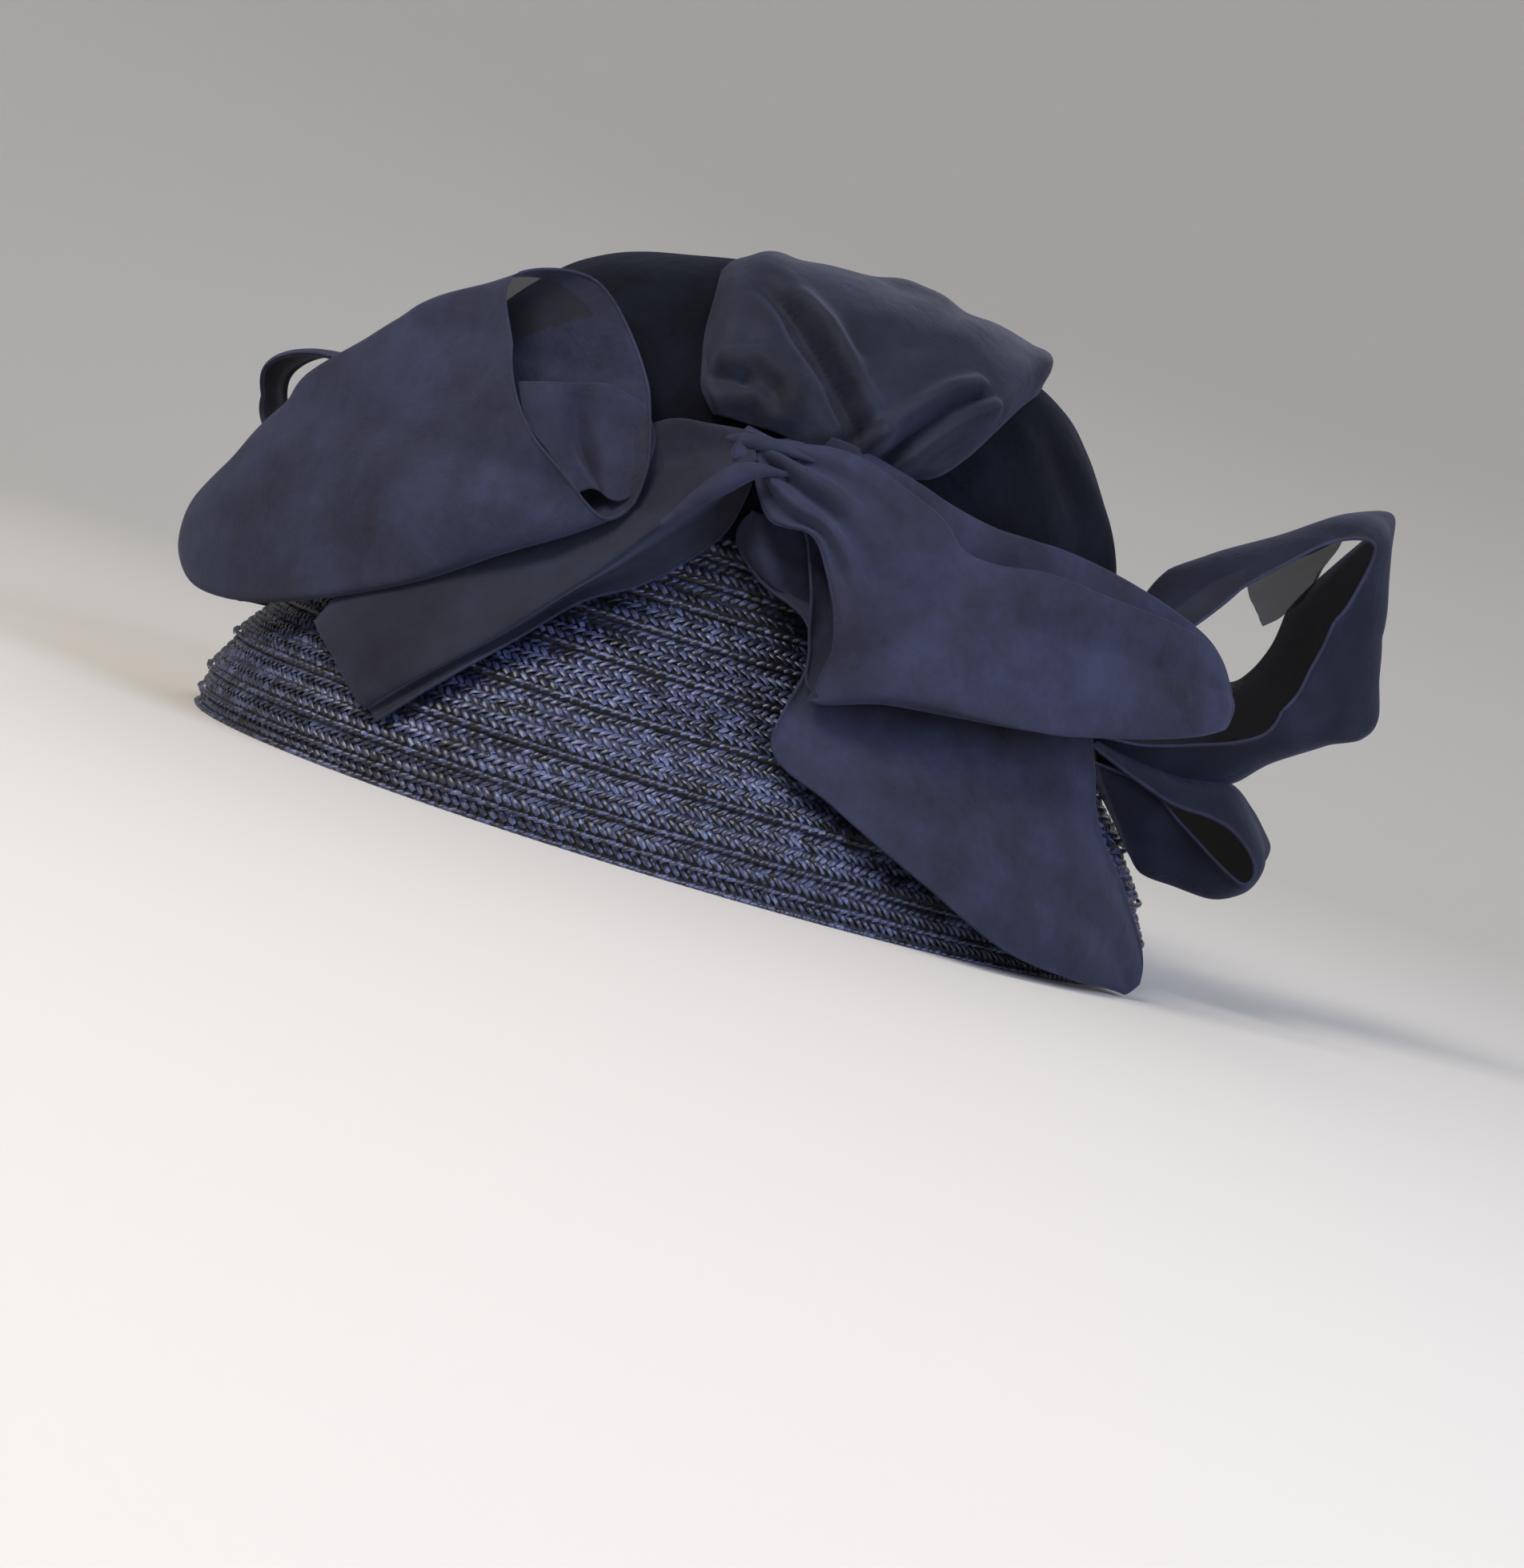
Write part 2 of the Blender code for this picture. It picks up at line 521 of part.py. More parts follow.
# Short tail under it: near edge, middle, far edge
FAR_TAIL = (
    ((-92.0, 0.70, -0.005), (-95.0, 0.70, -0.005), (-98.0, 0.70, -0.005)),
    ((-89.5, 0.64, 0.16), (-95.5, 0.65, 0.18), (-101.5, 0.64, 0.16)),
    ((-91.0, 0.52, 0.26), (-97.0, 0.53, 0.28), (-103.0, 0.52, 0.26)),
    ((-93.5, 0.39, 0.22), (-99.0, 0.39, 0.24), (-105.0, 0.39, 0.22)),
    ((-95.5, 0.27, 0.14), (-101.0, 0.27, 0.16), (-107.0, 0.27, 0.14)),
)


def refined(points, steps, closed=False):
    """Places along one section, on a smooth curve through its points."""
    if not closed:
        return through(points, steps)
    wrapped = (points[-1],) + tuple(points) + (points[0], points[1])
    count = len(points) * steps
    return through(wrapped, steps)[steps:steps + count]


def place_rows(builder, sections, across, closed=False):
    """Vertices for a table of sections, refined both ways."""
    rows = [refined(section, across, closed) for section in sections]
    flat = [tuple(value for point in row for value in point) for row in rows]
    rings = []
    for row in through(flat, SHEET_STEPS):
        points = [row[i:i + 3] for i in range(0, len(row), 3)]
        rings.append([builder.verts.new(on_hat(*point)) for point in points])
    return rings


def make_strip(name, sections, across=2):
    """A loop or tail that is one sheet."""
    builder = bmesh.new()
    add_faces(builder, place_rows(builder, sections, across))
    return finish_sheet(name, builder)


def make_left_loop():
    """Sleeve with an open mouth, a closed tip and a root to the knot."""
    across = 3
    builder = bmesh.new()
    rings = place_rows(builder, LEFT_LOOP, across, closed=True)
    add_faces(builder, rings, closed=True)
    cap_ring(builder, rings[-1])
    back = 3 * across
    root = [rings[0][back + 1:back - 2:-1]] + place_rows(builder, LEFT_LOOP_ROOT, 1)
    add_faces(builder, root)
    return finish_sheet("left_loop", builder)


def make_right_loop():
    """Ribbon folded along its bottom, with a mouth near the knot and a closed tip."""
    across = 2
    builder = bmesh.new()
    rows = place_rows(builder, RIGHT_LOOP, across)
    front, back = 2 * across, 3 * across
    mouth = RIGHT_LOOP_MOUTH * SHEET_STEPS
    add_faces(builder, [row[:front + 1] for row in rows])
    add_faces(builder, [row[front:back + 1] for row in rows[mouth:]])
    add_faces(builder, [row[back:] for row in rows])
    tip = rows[-1]
    for i in range(len(tip) // 2):
        j = len(tip) - 1 - i
        if j - i > 2:
            builder.faces.new((tip[i], tip[i + 1], tip[j - 1], tip[j]))
        elif j - i == 2:
            builder.faces.new((tip[i], tip[i + 1], tip[j]))
    loose = [vertex for vertex in builder.verts if not vertex.link_faces]
    bmesh.ops.delete(builder, geom=loose, context="VERTS")
    return finish_sheet("right_loop", builder)


# Sections of a knot: place from its left end to its right, share of its full size
KNOT_SECTIONS = ((-1.0, 0.82), (-0.5, 0.95), (0.0, 1.0), (0.5, 0.95), (1.0, 0.82))


def make_knot(name, turn, half_turn, up, height, depth):
    """Short gathered barrel, flat at its left and right ends."""
    builder = bmesh.new()
    rings = []
    for place, size in KNOT_SECTIONS:
        ring = []
        for i in range(KNOT_ROUND):
            angle = math.tau * i / KNOT_ROUND
            pleat = KNOT_PLEAT_DEPTH * math.cos(KNOT_PLEATS * angle)
            rise = math.sin(angle) * (height / 2 * size + pleat)
            out = (1 - math.cos(angle)) * (depth / 2 * size + pleat)
            ring.append(builder.verts.new(
                on_hat(turn + place * half_turn, up + rise / BOW_RISE, out / BOW_STAND)))
        rings.append(ring)
    add_faces(builder, rings, closed=True)
    cap_ring(builder, rings[0])
    cap_ring(builder, rings[-1])
    return finish_piece(name, builder, cloth_material(name + "_silk", NAVY_SILK, 0.5))


def main():
    for old in list(bpy.data.objects):
        bpy.data.objects.remove(old, do_unlink=True)
    make_straw_body()
    make_brim_lining()
    make_crown_drape()
    make_crown_puff()
    make_knot("bow_knot", KNOT_TURN, KNOT_HALF_TURN, KNOT_UP, KNOT_HEIGHT, KNOT_DEPTH)
    make_left_loop()
    make_strip("left_tail", LEFT_TAIL)
    make_right_loop()
    make_strip("right_tail", RIGHT_TAIL)
    make_knot("back_knot", BACK_KNOT_TURN, BACK_KNOT_HALF_TURN, BACK_KNOT_UP, BACK_KNOT_HEIGHT,
              BACK_KNOT_DEPTH)
    make_strip("back_loop_upper", BACK_LOOP_UPPER)
    make_strip("back_loop_lower", BACK_LOOP_LOWER)
    make_strip("far_loop", FAR_LOOP)
    make_strip("far_tail", FAR_TAIL)


main()
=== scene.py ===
# %% [markdown]
# A navy hat of sewn straw braid with a bell brim, dressed in silk organza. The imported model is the
# frame that everything is built on: its pieces already stand in metres, at their real place. Each
# soft piece is made again here with its folds and its finish, and stands for its solid.

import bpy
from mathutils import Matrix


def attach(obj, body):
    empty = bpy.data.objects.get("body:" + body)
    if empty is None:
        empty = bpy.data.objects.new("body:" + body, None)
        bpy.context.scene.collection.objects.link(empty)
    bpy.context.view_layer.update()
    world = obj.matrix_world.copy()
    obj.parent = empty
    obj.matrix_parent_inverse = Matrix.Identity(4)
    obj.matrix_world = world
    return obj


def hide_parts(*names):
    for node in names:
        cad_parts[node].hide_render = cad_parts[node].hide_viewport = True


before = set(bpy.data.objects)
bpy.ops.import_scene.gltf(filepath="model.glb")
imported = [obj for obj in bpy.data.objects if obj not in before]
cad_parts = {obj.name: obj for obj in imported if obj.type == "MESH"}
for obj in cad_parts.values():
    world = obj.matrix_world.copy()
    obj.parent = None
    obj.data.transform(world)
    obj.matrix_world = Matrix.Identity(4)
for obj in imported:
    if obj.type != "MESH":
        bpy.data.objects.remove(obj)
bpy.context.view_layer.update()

# %% Tools that the cells below use
import math

import bmesh
import bpy
from mathutils import Matrix, Vector, noise

# %% [markdown]
# Sizes of the hat. The straw is a head oval with a brim that flares like a bell, and the organza cover
# is the same oval, a little larger and higher. They are the sizes of the solids, so that each
# new piece lies exactly where its solid lies.

# %% Sizes of the straw and of the organza
HEAD_LENGTH, HEAD_WIDTH = 0.197, 0.167
BRIM_DEPTH, BRIM_FLARE = 0.084, 0.040
CROWN_RISE, STRAW_WALL, BRAID_STEP = 0.060, 0.002, 0.0007
LINING_MARGIN, LINING_RISE = 0.013, 0.010
CLOTH, CLEARANCE = 0.001, 0.0004
DRAPE_RISE, DRAPE_BULGE, DRAPE_FOLDS, DRAPE_FOLD_DEPTH = 0.0715, 0.004, 9, 0.0016
BOW_RISE, BOW_STAND, BOW_TURN, BOW_SEAT_TOP = 0.100, 0.100, 48.0, 0.40
AXIS = Vector((-0.0067, -0.0127, 0.0))

# Brim from the rim up: share of its depth, share of its flare
BRIM_PROFILE = ((0.0, 1.0), (0.11, 1.0), (0.23, 0.91), (0.36, 0.76), (0.49, 0.54), (0.62, 0.31),
                (0.75, 0.15), (0.88, 0.05), (1.0, 0.0))
# Straw crown: share of its rise, share of the head oval
CROWN_PROFILE = ((0.0, 1.0), (0.25, 0.985), (0.55, 0.94), (0.78, 0.86), (0.92, 0.72), (0.98, 0.50),
                 (1.0, 0.0))
# Organza cover: share of its rise, share of the head oval, share of the bulge
DRAPE_PROFILE = ((0.0, 1.0, 0.0), (0.12, 1.0, 0.7), (0.28, 0.985, 1.0), (0.45, 0.95, 0.7),
                 (0.60, 0.885, 0.5), (0.74, 0.81, 0.3), (0.86, 0.71, 0.2), (0.95, 0.55, 0.0),
                 (0.99, 0.32, 0.0), (1.0, 0.0, 0.0))
print("rim in mm:", round(1000 * (HEAD_WIDTH + 2 * BRIM_FLARE)), "by",
      round(1000 * (HEAD_LENGTH + 2 * BRIM_FLARE)))

# %% [markdown]
# A place on the hat is easiest to say as a maker would: so far round from the bow, so far up, and so
# far off the surface. The functions here turn such a place into a point. The curve through the rows of
# a table is smooth, so a few rows describe a whole fold.


# %% Curves through a table
def curve_value(before, start, end, after, t):
    """A smooth curve through start and end, at t from 0 to 1 between them."""
    return 0.5 * (2 * start + (end - before) * t + (2 * before - 5 * start + 4 * end - after) * t * t
                  + (3 * start - before - 3 * end + after) * t ** 3)


def along_table(table, at, column=1):
    """Smooth value of a column at a place in the first column of a table."""
    last = len(table) - 2
    i = next((k for k in range(last) if at <= table[k + 1][0]), last)
    start, end = table[i], table[i + 1]
    t = min(1.0, max(0.0, (at - start[0]) / (end[0] - start[0])))
    span = end[0] - start[0]
    before, after = table[max(i - 1, 0)], table[min(i + 2, last + 1)]
    rise = (end[column] - start[column]) / span
    low = (end[column] - before[column]) / (end[0] - before[0]) if i else rise
    high = (after[column] - start[column]) / (after[0] - start[0]) if i < last else rise
    return ((2 * t ** 3 - 3 * t * t + 1) * start[column] + (t ** 3 - 2 * t * t + t) * low * span
            + (3 * t * t - 2 * t ** 3) * end[column] + (t ** 3 - t * t) * high * span)


def smooth(low, high, at):
    """0 below low, 1 above high, and a soft step between."""
    t = min(1.0, max(0.0, (at - low) / (high - low)))
    return t * t * (3 - 2 * t)


# %% Places on the hat
def bow_direction(turn):
    """Level direction, turned in degrees from the bow towards the back of the hat."""
    angle = math.radians(BOW_TURN + turn)
    return Vector((math.sin(angle), -math.cos(angle), 0.0))


def oval_reach(direction, spread=0.0, share=1.0):
    """Distance from the axis to the head oval, enlarged by a spread."""
    half_width = max(1e-6, HEAD_WIDTH / 2 * share + spread)
    half_length = max(1e-6, HEAD_LENGTH / 2 * share + spread)
    return 1.0 / math.hypot(direction.x / half_width, direction.y / half_length)


def flare_at(height):
    """How far the straw stands out from the head oval."""
    return BRIM_FLARE * along_table(BRIM_PROFILE, min(1.0, height / BRIM_DEPTH))


def cover_spread(rise):
    """How far the organza cover stands out from the oval at a share of its rise."""
    return BRAID_STEP + CLEARANCE + CLOTH + DRAPE_BULGE * along_table(DRAPE_PROFILE, rise, 2)


def seat_reach(direction, height):
    """Distance from the axis to what the bow lies on: straw below, organza above."""
    foot = smooth(0.76, 0.92, height / BRIM_DEPTH)
    straw = flare_at(height) + BRAID_STEP + CLEARANCE + (CLOTH + CLEARANCE) * foot
    if height <= BRIM_DEPTH:
        return oval_reach(direction, straw)
    rise = min((height - BRIM_DEPTH) / DRAPE_RISE, BOW_SEAT_TOP)
    swell = DRAPE_FOLD_DEPTH * math.sin(math.pi * rise) ** 2
    return oval_reach(direction, cover_spread(rise) + swell + CLEARANCE,
                      along_table(DRAPE_PROFILE, rise))


def on_hat(turn, up, lift):
    """Place on the hat: turn in degrees, up as a share of the bow's rise, lift of its stand."""
    height = max(0.0004, up * BOW_RISE)
    direction = bow_direction(turn)
    reach = seat_reach(direction, height) + lift * BOW_STAND
    return AXIS + direction * reach + Vector((0, 0, height))


def sample(table, across, along):
    """Smooth place in a table of sections: across a section, and along from the first to the last."""
    last = len(table) - 1
    row = min(int(along * last), last - 1)
    t = along * last - row
    count = len(table[0]) - 1
    column = min(int(across * count), count - 1)
    s = across * count - column

    def point_of(section):
        four = [section[min(max(column + k, 0), count)] for k in (-1, 0, 1, 2)]
        return [curve_value(*values, s) for values in zip(*four)]

    rows = [point_of(table[min(max(row + k, 0), last)]) for k in (-1, 0, 1, 2)]
    return [curve_value(*values, t) for values in zip(*rows)]


print("bow's knot in mm:", [round(1000 * v) for v in on_hat(0, 1.03, 0.1)])

# %% [markdown]
# The camera looks at the hat from the front and its left side, and it is rolled as the hat is tilted
# in the photograph. The hat lies on a floor here, so the camera is raised until it is above that
# floor. Places in the photograph are named values in pixels of its 1904 by 1959 frame.

# %% Camera
IMAGE_WIDTH, IMAGE_HEIGHT = 1904, 1959
FOCAL_PIXELS = 4500.0
CAMERA_DISTANCE = 1.0
CAMERA_TURN, CAMERA_ROLL = math.radians(48.0), math.radians(17.3)
HAT_X = 841.0
# Rise of the camera, and the image row of the axis at the floor: in the photograph, and here
PHOTO_RISE, PHOTO_HAT_Y = math.radians(-11.6), 1097.0
CAMERA_RISE, HAT_Y = math.radians(3.0), 1050.0


def camera_frame(rise, hat_y):
    """Towards the camera, right and up in its picture, and its place."""
    toward = Vector((math.sin(CAMERA_TURN) * math.cos(rise),
                     -math.cos(CAMERA_TURN) * math.cos(rise), math.sin(rise)))
    level = Vector((math.cos(CAMERA_TURN), math.sin(CAMERA_TURN), 0.0))
    upright = toward.cross(level)
    right = level * math.cos(CAMERA_ROLL) + upright * math.sin(CAMERA_ROLL)
    up = upright * math.cos(CAMERA_ROLL) - level * math.sin(CAMERA_ROLL)
    aside = (HAT_X - IMAGE_WIDTH / 2) / FOCAL_PIXELS * CAMERA_DISTANCE
    above = (IMAGE_HEIGHT / 2 - hat_y) / FOCAL_PIXELS * CAMERA_DISTANCE
    return toward, right, up, AXIS + toward * CAMERA_DISTANCE - right * aside - up * above


toward, right, up, eye = camera_frame(CAMERA_RISE, HAT_Y)
camera_data = bpy.data.cameras.new("photo_camera")
camera_data.sensor_fit = "AUTO"
camera_data.sensor_width = 36.0
camera_data.lens = 36.0 * FOCAL_PIXELS / IMAGE_HEIGHT
camera_data.clip_start, camera_data.clip_end = 0.01, 50.0
camera = bpy.data.objects.new("photo_camera", camera_data)
bpy.context.scene.collection.objects.link(camera)
camera.rotation_mode = "QUATERNION"
turned = Matrix((right, up, toward)).transposed()
camera.rotation_quaternion = turned.to_quaternion()
camera.location = eye
bpy.context.scene.camera = camera
print("camera height in mm:", round(1000 * camera.location.z))

# %% [markdown]
# Materials are written as short lists of nodes. One helper adds a node with its settings and its
# links, and one turns the colour that a screen shows into the linear one that Blender counts in.


# %% Helpers for materials
def colour_of(text):
    """Linear colour from an sRGB hex value."""
    parts = [int(text[i:i + 2], 16) / 255 for i in (1, 3, 5)]
    return [c / 12.92 if c <= 0.04045 else ((c + 0.055) / 1.055) ** 2.4 for c in parts] + [1.0]


def add_node(material, kind, settings=None, links=None):
    """One node: settings are its own values or its inputs' values, links name other nodes' outputs."""
    node = material.node_tree.nodes.new(kind)
    for key, value in (settings or {}).items():
        if isinstance(key, int) or key in node.inputs:
            node.inputs[key].default_value = value
        else:
            setattr(node, key, value)
    for key, (other, output) in (links or {}).items():
        material.node_tree.links.new(other.outputs[output], node.inputs[key])
    return node


def new_material(name):
    """An empty material with its output."""
    material = bpy.data.materials.new(name)
    material.use_nodes = True
    material.node_tree.nodes.clear()
    return material


def set_ramp(node, stops):
    """Colours of a ramp: place, hex value."""
    ramp = node.color_ramp
    while len(ramp.elements) < len(stops):
        ramp.elements.new(0.5)
    for element, (place, text) in zip(ramp.elements, stops):
        element.position = place
        element.color = colour_of(text)


# %% [markdown]
# Silk organza is a thin plain weave of hard-twisted silk. It is matt with a soft sheen where it turns
# away, a little see-through where one layer is alone, and never quite even in tone. The real threads
# are about 0.2 mm apart, finer than the render shows, so the weave is drawn at 0.7 mm. The
# pattern reads the piece's own flat cut in metres, so it runs with the cloth round every fold.
# One cloth gives several finishes: a full bow of two layers, a single layer that lets light through, a
# lighter inner layer whose tones are painted light shining through it, a tail and back loops darkened
# with painted shade, and a matt cover that is stretched over black straw.

# %% Organza
THREAD_PITCH = 0.0007
SLUB_SIZE = 0.0022
MOTTLE_SIZE = 0.022
CRUMPLE_SIZE = 0.009


def woven_organza(name, dark, middle, light, cover, gloss=0.14, bloom=0.24):
    """Silk organza: three tones of its mottle, how much one face covers, gloss and sheen."""
    material = new_material(name)
    cut = add_node(material, "ShaderNodeTexCoord")
    mottle = add_node(material, "ShaderNodeTexNoise", {"Scale": 1 / MOTTLE_SIZE, "Detail": 4.0,
                                                        "Roughness": 0.6}, {"Vector": (cut, "Object")})
    slub = add_node(material, "ShaderNodeTexNoise", {"Scale": 1 / SLUB_SIZE, "Detail": 3.0,
                                                      "Roughness": 0.7}, {"Vector": (cut, "Object")})
    blend = add_node(material, "ShaderNodeMath", {"operation": "MULTIPLY_ADD", 1: 0.35},
                     {0: (slub, "Fac"), 2: (mottle, "Fac")})
    tone = add_node(material, "ShaderNodeValToRGB", None, {"Fac": (blend, "Value")})
    set_ramp(tone, ((0.42, dark), (0.66, middle), (0.95, light)))
    warp = add_node(material, "ShaderNodeTexWave", {"Scale": 0.5 / THREAD_PITCH / math.pi,
                                                     "bands_direction": "X", "Distortion": 0.6,
                                                     "Detail": 1.0}, {"Vector": (cut, "UV")})
    weft = add_node(material, "ShaderNodeTexWave", {"Scale": 0.5 / THREAD_PITCH / math.pi,
                                                     "bands_direction": "Y", "Distortion": 0.6,
                                                     "Detail": 1.0}, {"Vector": (cut, "UV")})
    weave = add_node(material, "ShaderNodeMath", {"operation": "ADD"},
                     {0: (warp, "Fac"), 1: (weft, "Fac")})
    crease = add_node(material, "ShaderNodeTexNoise", {"Scale": 1 / CRUMPLE_SIZE, "Detail": 5.0,
                                                        "Roughness": 0.55}, {"Vector": (cut, "Object")})
    fine = add_node(material, "ShaderNodeBump", {"Strength": 0.10, "Distance": 0.0002},
                    {"Height": (weave, "Value")})
    bump = add_node(material, "ShaderNodeBump", {"Strength": 0.35, "Distance": 0.0016},
                    {"Height": (crease, "Fac"), "Normal": (fine, "Normal")})
    rough = add_node(material, "ShaderNodeMapRange",
                     {"From Min": 0.3, "From Max": 0.8, "To Min": 0.84 - gloss, "To Max": 1.0 - gloss},
                     {"Value": (slub, "Fac")})
    silk = add_node(material, "ShaderNodeBsdfPrincipled",
                    {"Sheen Weight": bloom, "Sheen Roughness": 0.5, "Sheen Tint": colour_of("#8E96B8"),
                     "Specular IOR Level": gloss, "Alpha": cover},
                    {"Base Color": (tone, "Color"), "Roughness": (rough, "Result"),
                     "Normal": (bump, "Normal")})
    add_node(material, "ShaderNodeOutputMaterial", None, {"Surface": (silk, "BSDF")})
    return material


bow_silk = woven_organza("silk_organza_bow", "#23222B", "#2C2E40", "#363C54", 0.90)
sheer_silk = woven_organza("silk_organza_one_layer", "#22232A", "#2E3038", "#3C4048", 0.60)
# The left tail's darker tones are painted shade from the loop that hangs over it.
shaded_tail_silk = woven_organza("silk_organza_tail_painted_shade", "#1B1A22", "#23252F", "#2B2F3E", 0.97)
# The inner layer's lighter tones are painted light that shines through the single layer from behind.
backlit_inner_silk = woven_organza("silk_organza_inner_layer_painted_light", "#3A3F4C", "#4E5564", "#626A7A", 0.66)
# The back loops and back knot take darker tones of the same organza: painted shade at the back of the
# hat.
shaded_back_silk = woven_organza("silk_organza_back_loops_painted_shade", "#10111A", "#181A27", "#242939", 0.87)
cover_silk = woven_organza("silk_organza_crown", "#08080C", "#0D0F15", "#151822", 0.97, 0.05, 0.08)
swath_silk = woven_organza("silk_organza_swath", "#12131A", "#1B1D29", "#262A3B", 0.97, 0.20, 0.22)
print("organza:", bow_silk.name, shaded_back_silk.name)

# %% [markdown]
# Straw braid is plaited from flat glossy strands, dyed and lacquered, and sewn row on row. The strands
# are bright where they face the light and almost black where they dive under each other. The ground
# under them is the same dyed straw made darker still, as painted shade between the strands, and the
# lining is a plain matt cloth.

# %% Straw and lining
STRAND_TONE, DYE_PATCH, STRAW_GRAIN = 0.0020, 0.012, 0.0006


def lacquered_straw(name, dark, middle, light, gloss):
    """Dyed and lacquered straw: each strand takes its own tone."""
    material = new_material(name)
    where = add_node(material, "ShaderNodeTexCoord")
    strands = add_node(material, "ShaderNodeTexVoronoi", {"Scale": 1 / STRAND_TONE},
                       {"Vector": (where, "Object")})
    patches = add_node(material, "ShaderNodeTexNoise", {"Scale": 1 / DYE_PATCH, "Detail": 3.0},
                       {"Vector": (where, "Object")})
    faint = add_node(material, "ShaderNodeMapRange", {"From Min": 0.3, "From Max": 0.7, "To Min": 0.0,
                                                       "To Max": 0.22}, {"Value": (patches, "Fac")})
    blend = add_node(material, "ShaderNodeMath", {"operation": "MULTIPLY_ADD", 1: 0.78},
                     {0: (strands, "Color"), 2: (faint, "Result")})
    tone = add_node(material, "ShaderNodeValToRGB", None, {"Fac": (blend, "Value")})
    set_ramp(tone, ((0.15, dark), (0.50, middle), (0.92, light)))
    grain = add_node(material, "ShaderNodeTexNoise", {"Scale": 1 / STRAW_GRAIN, "Detail": 2.0},
                     {"Vector": (where, "Object")})
    bump = add_node(material, "ShaderNodeBump", {"Strength": 0.25, "Distance": 0.0003},
                    {"Height": (grain, "Fac")})
    straw = add_node(material, "ShaderNodeBsdfPrincipled",
                     {"Roughness": gloss, "Coat Weight": 0.15, "Coat Roughness": 0.3,
                      "Specular IOR Level": 0.5},
                     {"Base Color": (tone, "Color"), "Normal": (bump, "Normal")})
    add_node(material, "ShaderNodeOutputMaterial", None, {"Surface": (straw, "BSDF")})
    return material


strand_straw = lacquered_straw("lacquered_navy_straw", "#0D0F19", "#262B45", "#59638A", 0.36)
# The ground is painted shade: a darker copy of the dyed straw that shows in the gaps between strands.
shaded_ground_straw = lacquered_straw("straw_ground_painted_shade", "#040508", "#07080D", "#0D0F16", 0.6)
lining_cloth = lacquered_straw("matt_lining", "#050608", "#08090C", "#0C0D11", 0.85)
print("straw:", strand_straw.name, shaded_ground_straw.name, lining_cloth.name)

# %% [markdown]
# Every wall and sheet starts as a flat grid with its own flat map, as cloth starts as a flat cut. A
# function then says where each point of the cut lies on the hat, and a second one lifts it into
# creases. The maker's order is the same: cut, drape, then arrange the folds.


# %% From a flat cut to a piece
def finish_piece(name, builder, material, nodes, thickness=0.0, offset=0.0):
    """One piece that rides on the hat and stands for its solids."""
    mesh = bpy.data.meshes.new(name)
    builder.to_mesh(mesh)
    builder.free()
    mesh.materials.append(material)
    mesh.shade_smooth()
    piece = bpy.data.objects.new(name, mesh)
    bpy.context.scene.collection.objects.link(piece)
    if thickness:
        wall = piece.modifiers.new("wall", "SOLIDIFY")
        wall.thickness, wall.offset, wall.use_rim = thickness, offset, True
    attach(piece, "root")
    if nodes:
        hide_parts(*nodes)
    area = sum(f.area for f in mesh.polygons)
    print(name, len(mesh.polygons), "faces,", round(area * 1e4), "square cm")
    return piece


def drape_cut(place, size, steps, crease=None, closed=False):
    """A flat cut of cloth, moved to its place: size and steps are across and along."""
    builder = bmesh.new()
    chart = builder.loops.layers.uv.new("cut")
    bmesh.ops.create_grid(builder, x_segments=steps[0], y_segments=steps[1], size=0.5, calc_uvs=True)
    flat = {v: (v.co.x + 0.5, v.co.y + 0.5) for v in builder.verts}
    for face in builder.faces:
        for corner in face.loops:
            corner[chart].uv = (corner[chart].uv[0] * size[0], corner[chart].uv[1] * size[1])
    for vertex, (across, along) in flat.items():
        vertex.co = place(across, along)
    if closed:
        bmesh.ops.remove_doubles(builder, verts=builder.verts, dist=1e-6)
        bmesh.ops.recalc_face_normals(builder, faces=builder.faces)
    builder.normal_update()
    if crease:
        moved = [(v, v.co + v.normal * crease(*flat[v])) for v in builder.verts]
        for vertex, place_now in moved:
            vertex.co = place_now
        builder.normal_update()
    return builder


# %% [markdown]
# The straw wall is one shell: a section from the rim up to the tip of the crown and back down inside.
# The rows of braid lap like shingles, so the section steps out a little at the foot of each row. The
# photograph shows two narrow rows at the rim, then rows about 10 mm wide.

# %% Seams and section of the straw
SEAMS = (0.0, 0.049, 0.12, 0.244, 0.40, 0.544, 0.66, 0.755, 0.84, 0.92, 1.0)


def straw_section():
    """Spread, share of the oval and height of the outside of the straw, from rim to tip."""
    rows = []
    for low, high in zip(SEAMS, SEAMS[1:]):
        middle = (low + high) / 2
        rows.append((flare_at(low * BRIM_DEPTH) + BRAID_STEP, 1.0, low * BRIM_DEPTH))
        rows.append((flare_at(middle * BRIM_DEPTH) + BRAID_STEP / 2, 1.0, middle * BRIM_DEPTH))
        rows.append((flare_at(high * BRIM_DEPTH), 1.0, (high - 0.003) * BRIM_DEPTH))
    for rise, share in CROWN_PROFILE[1:]:
        rows.append((0.0, share, BRIM_DEPTH + CROWN_RISE * rise))
    return rows


def inside_section(inset):
    """The same wall from inside, without the steps."""
    rows = []
    for k in range(12):
        height = max(inset * 0.02, BRIM_DEPTH * k / 11)
        rows.append((flare_at(height) - inset, 1.0, height))
    for rise, share in CROWN_PROFILE[1:]:
        rows.append((-inset * (1 - rise ** 4), share, BRIM_DEPTH + CROWN_RISE * rise - inset * rise))
    return rows


def turned_wall(section, around):
    """A closed wall, the section turned round the head oval."""
    def place(across, along):
        direction = bow_direction(360.0 * across)
        row = section[round(along * (len(section) - 1))]
        spread, share, height = row
        return AXIS + direction * oval_reach(direction, spread, share) + Vector((0, 0, height))
    return drape_cut(place, (0.8, 0.2), (around, len(section) - 1), closed=True)


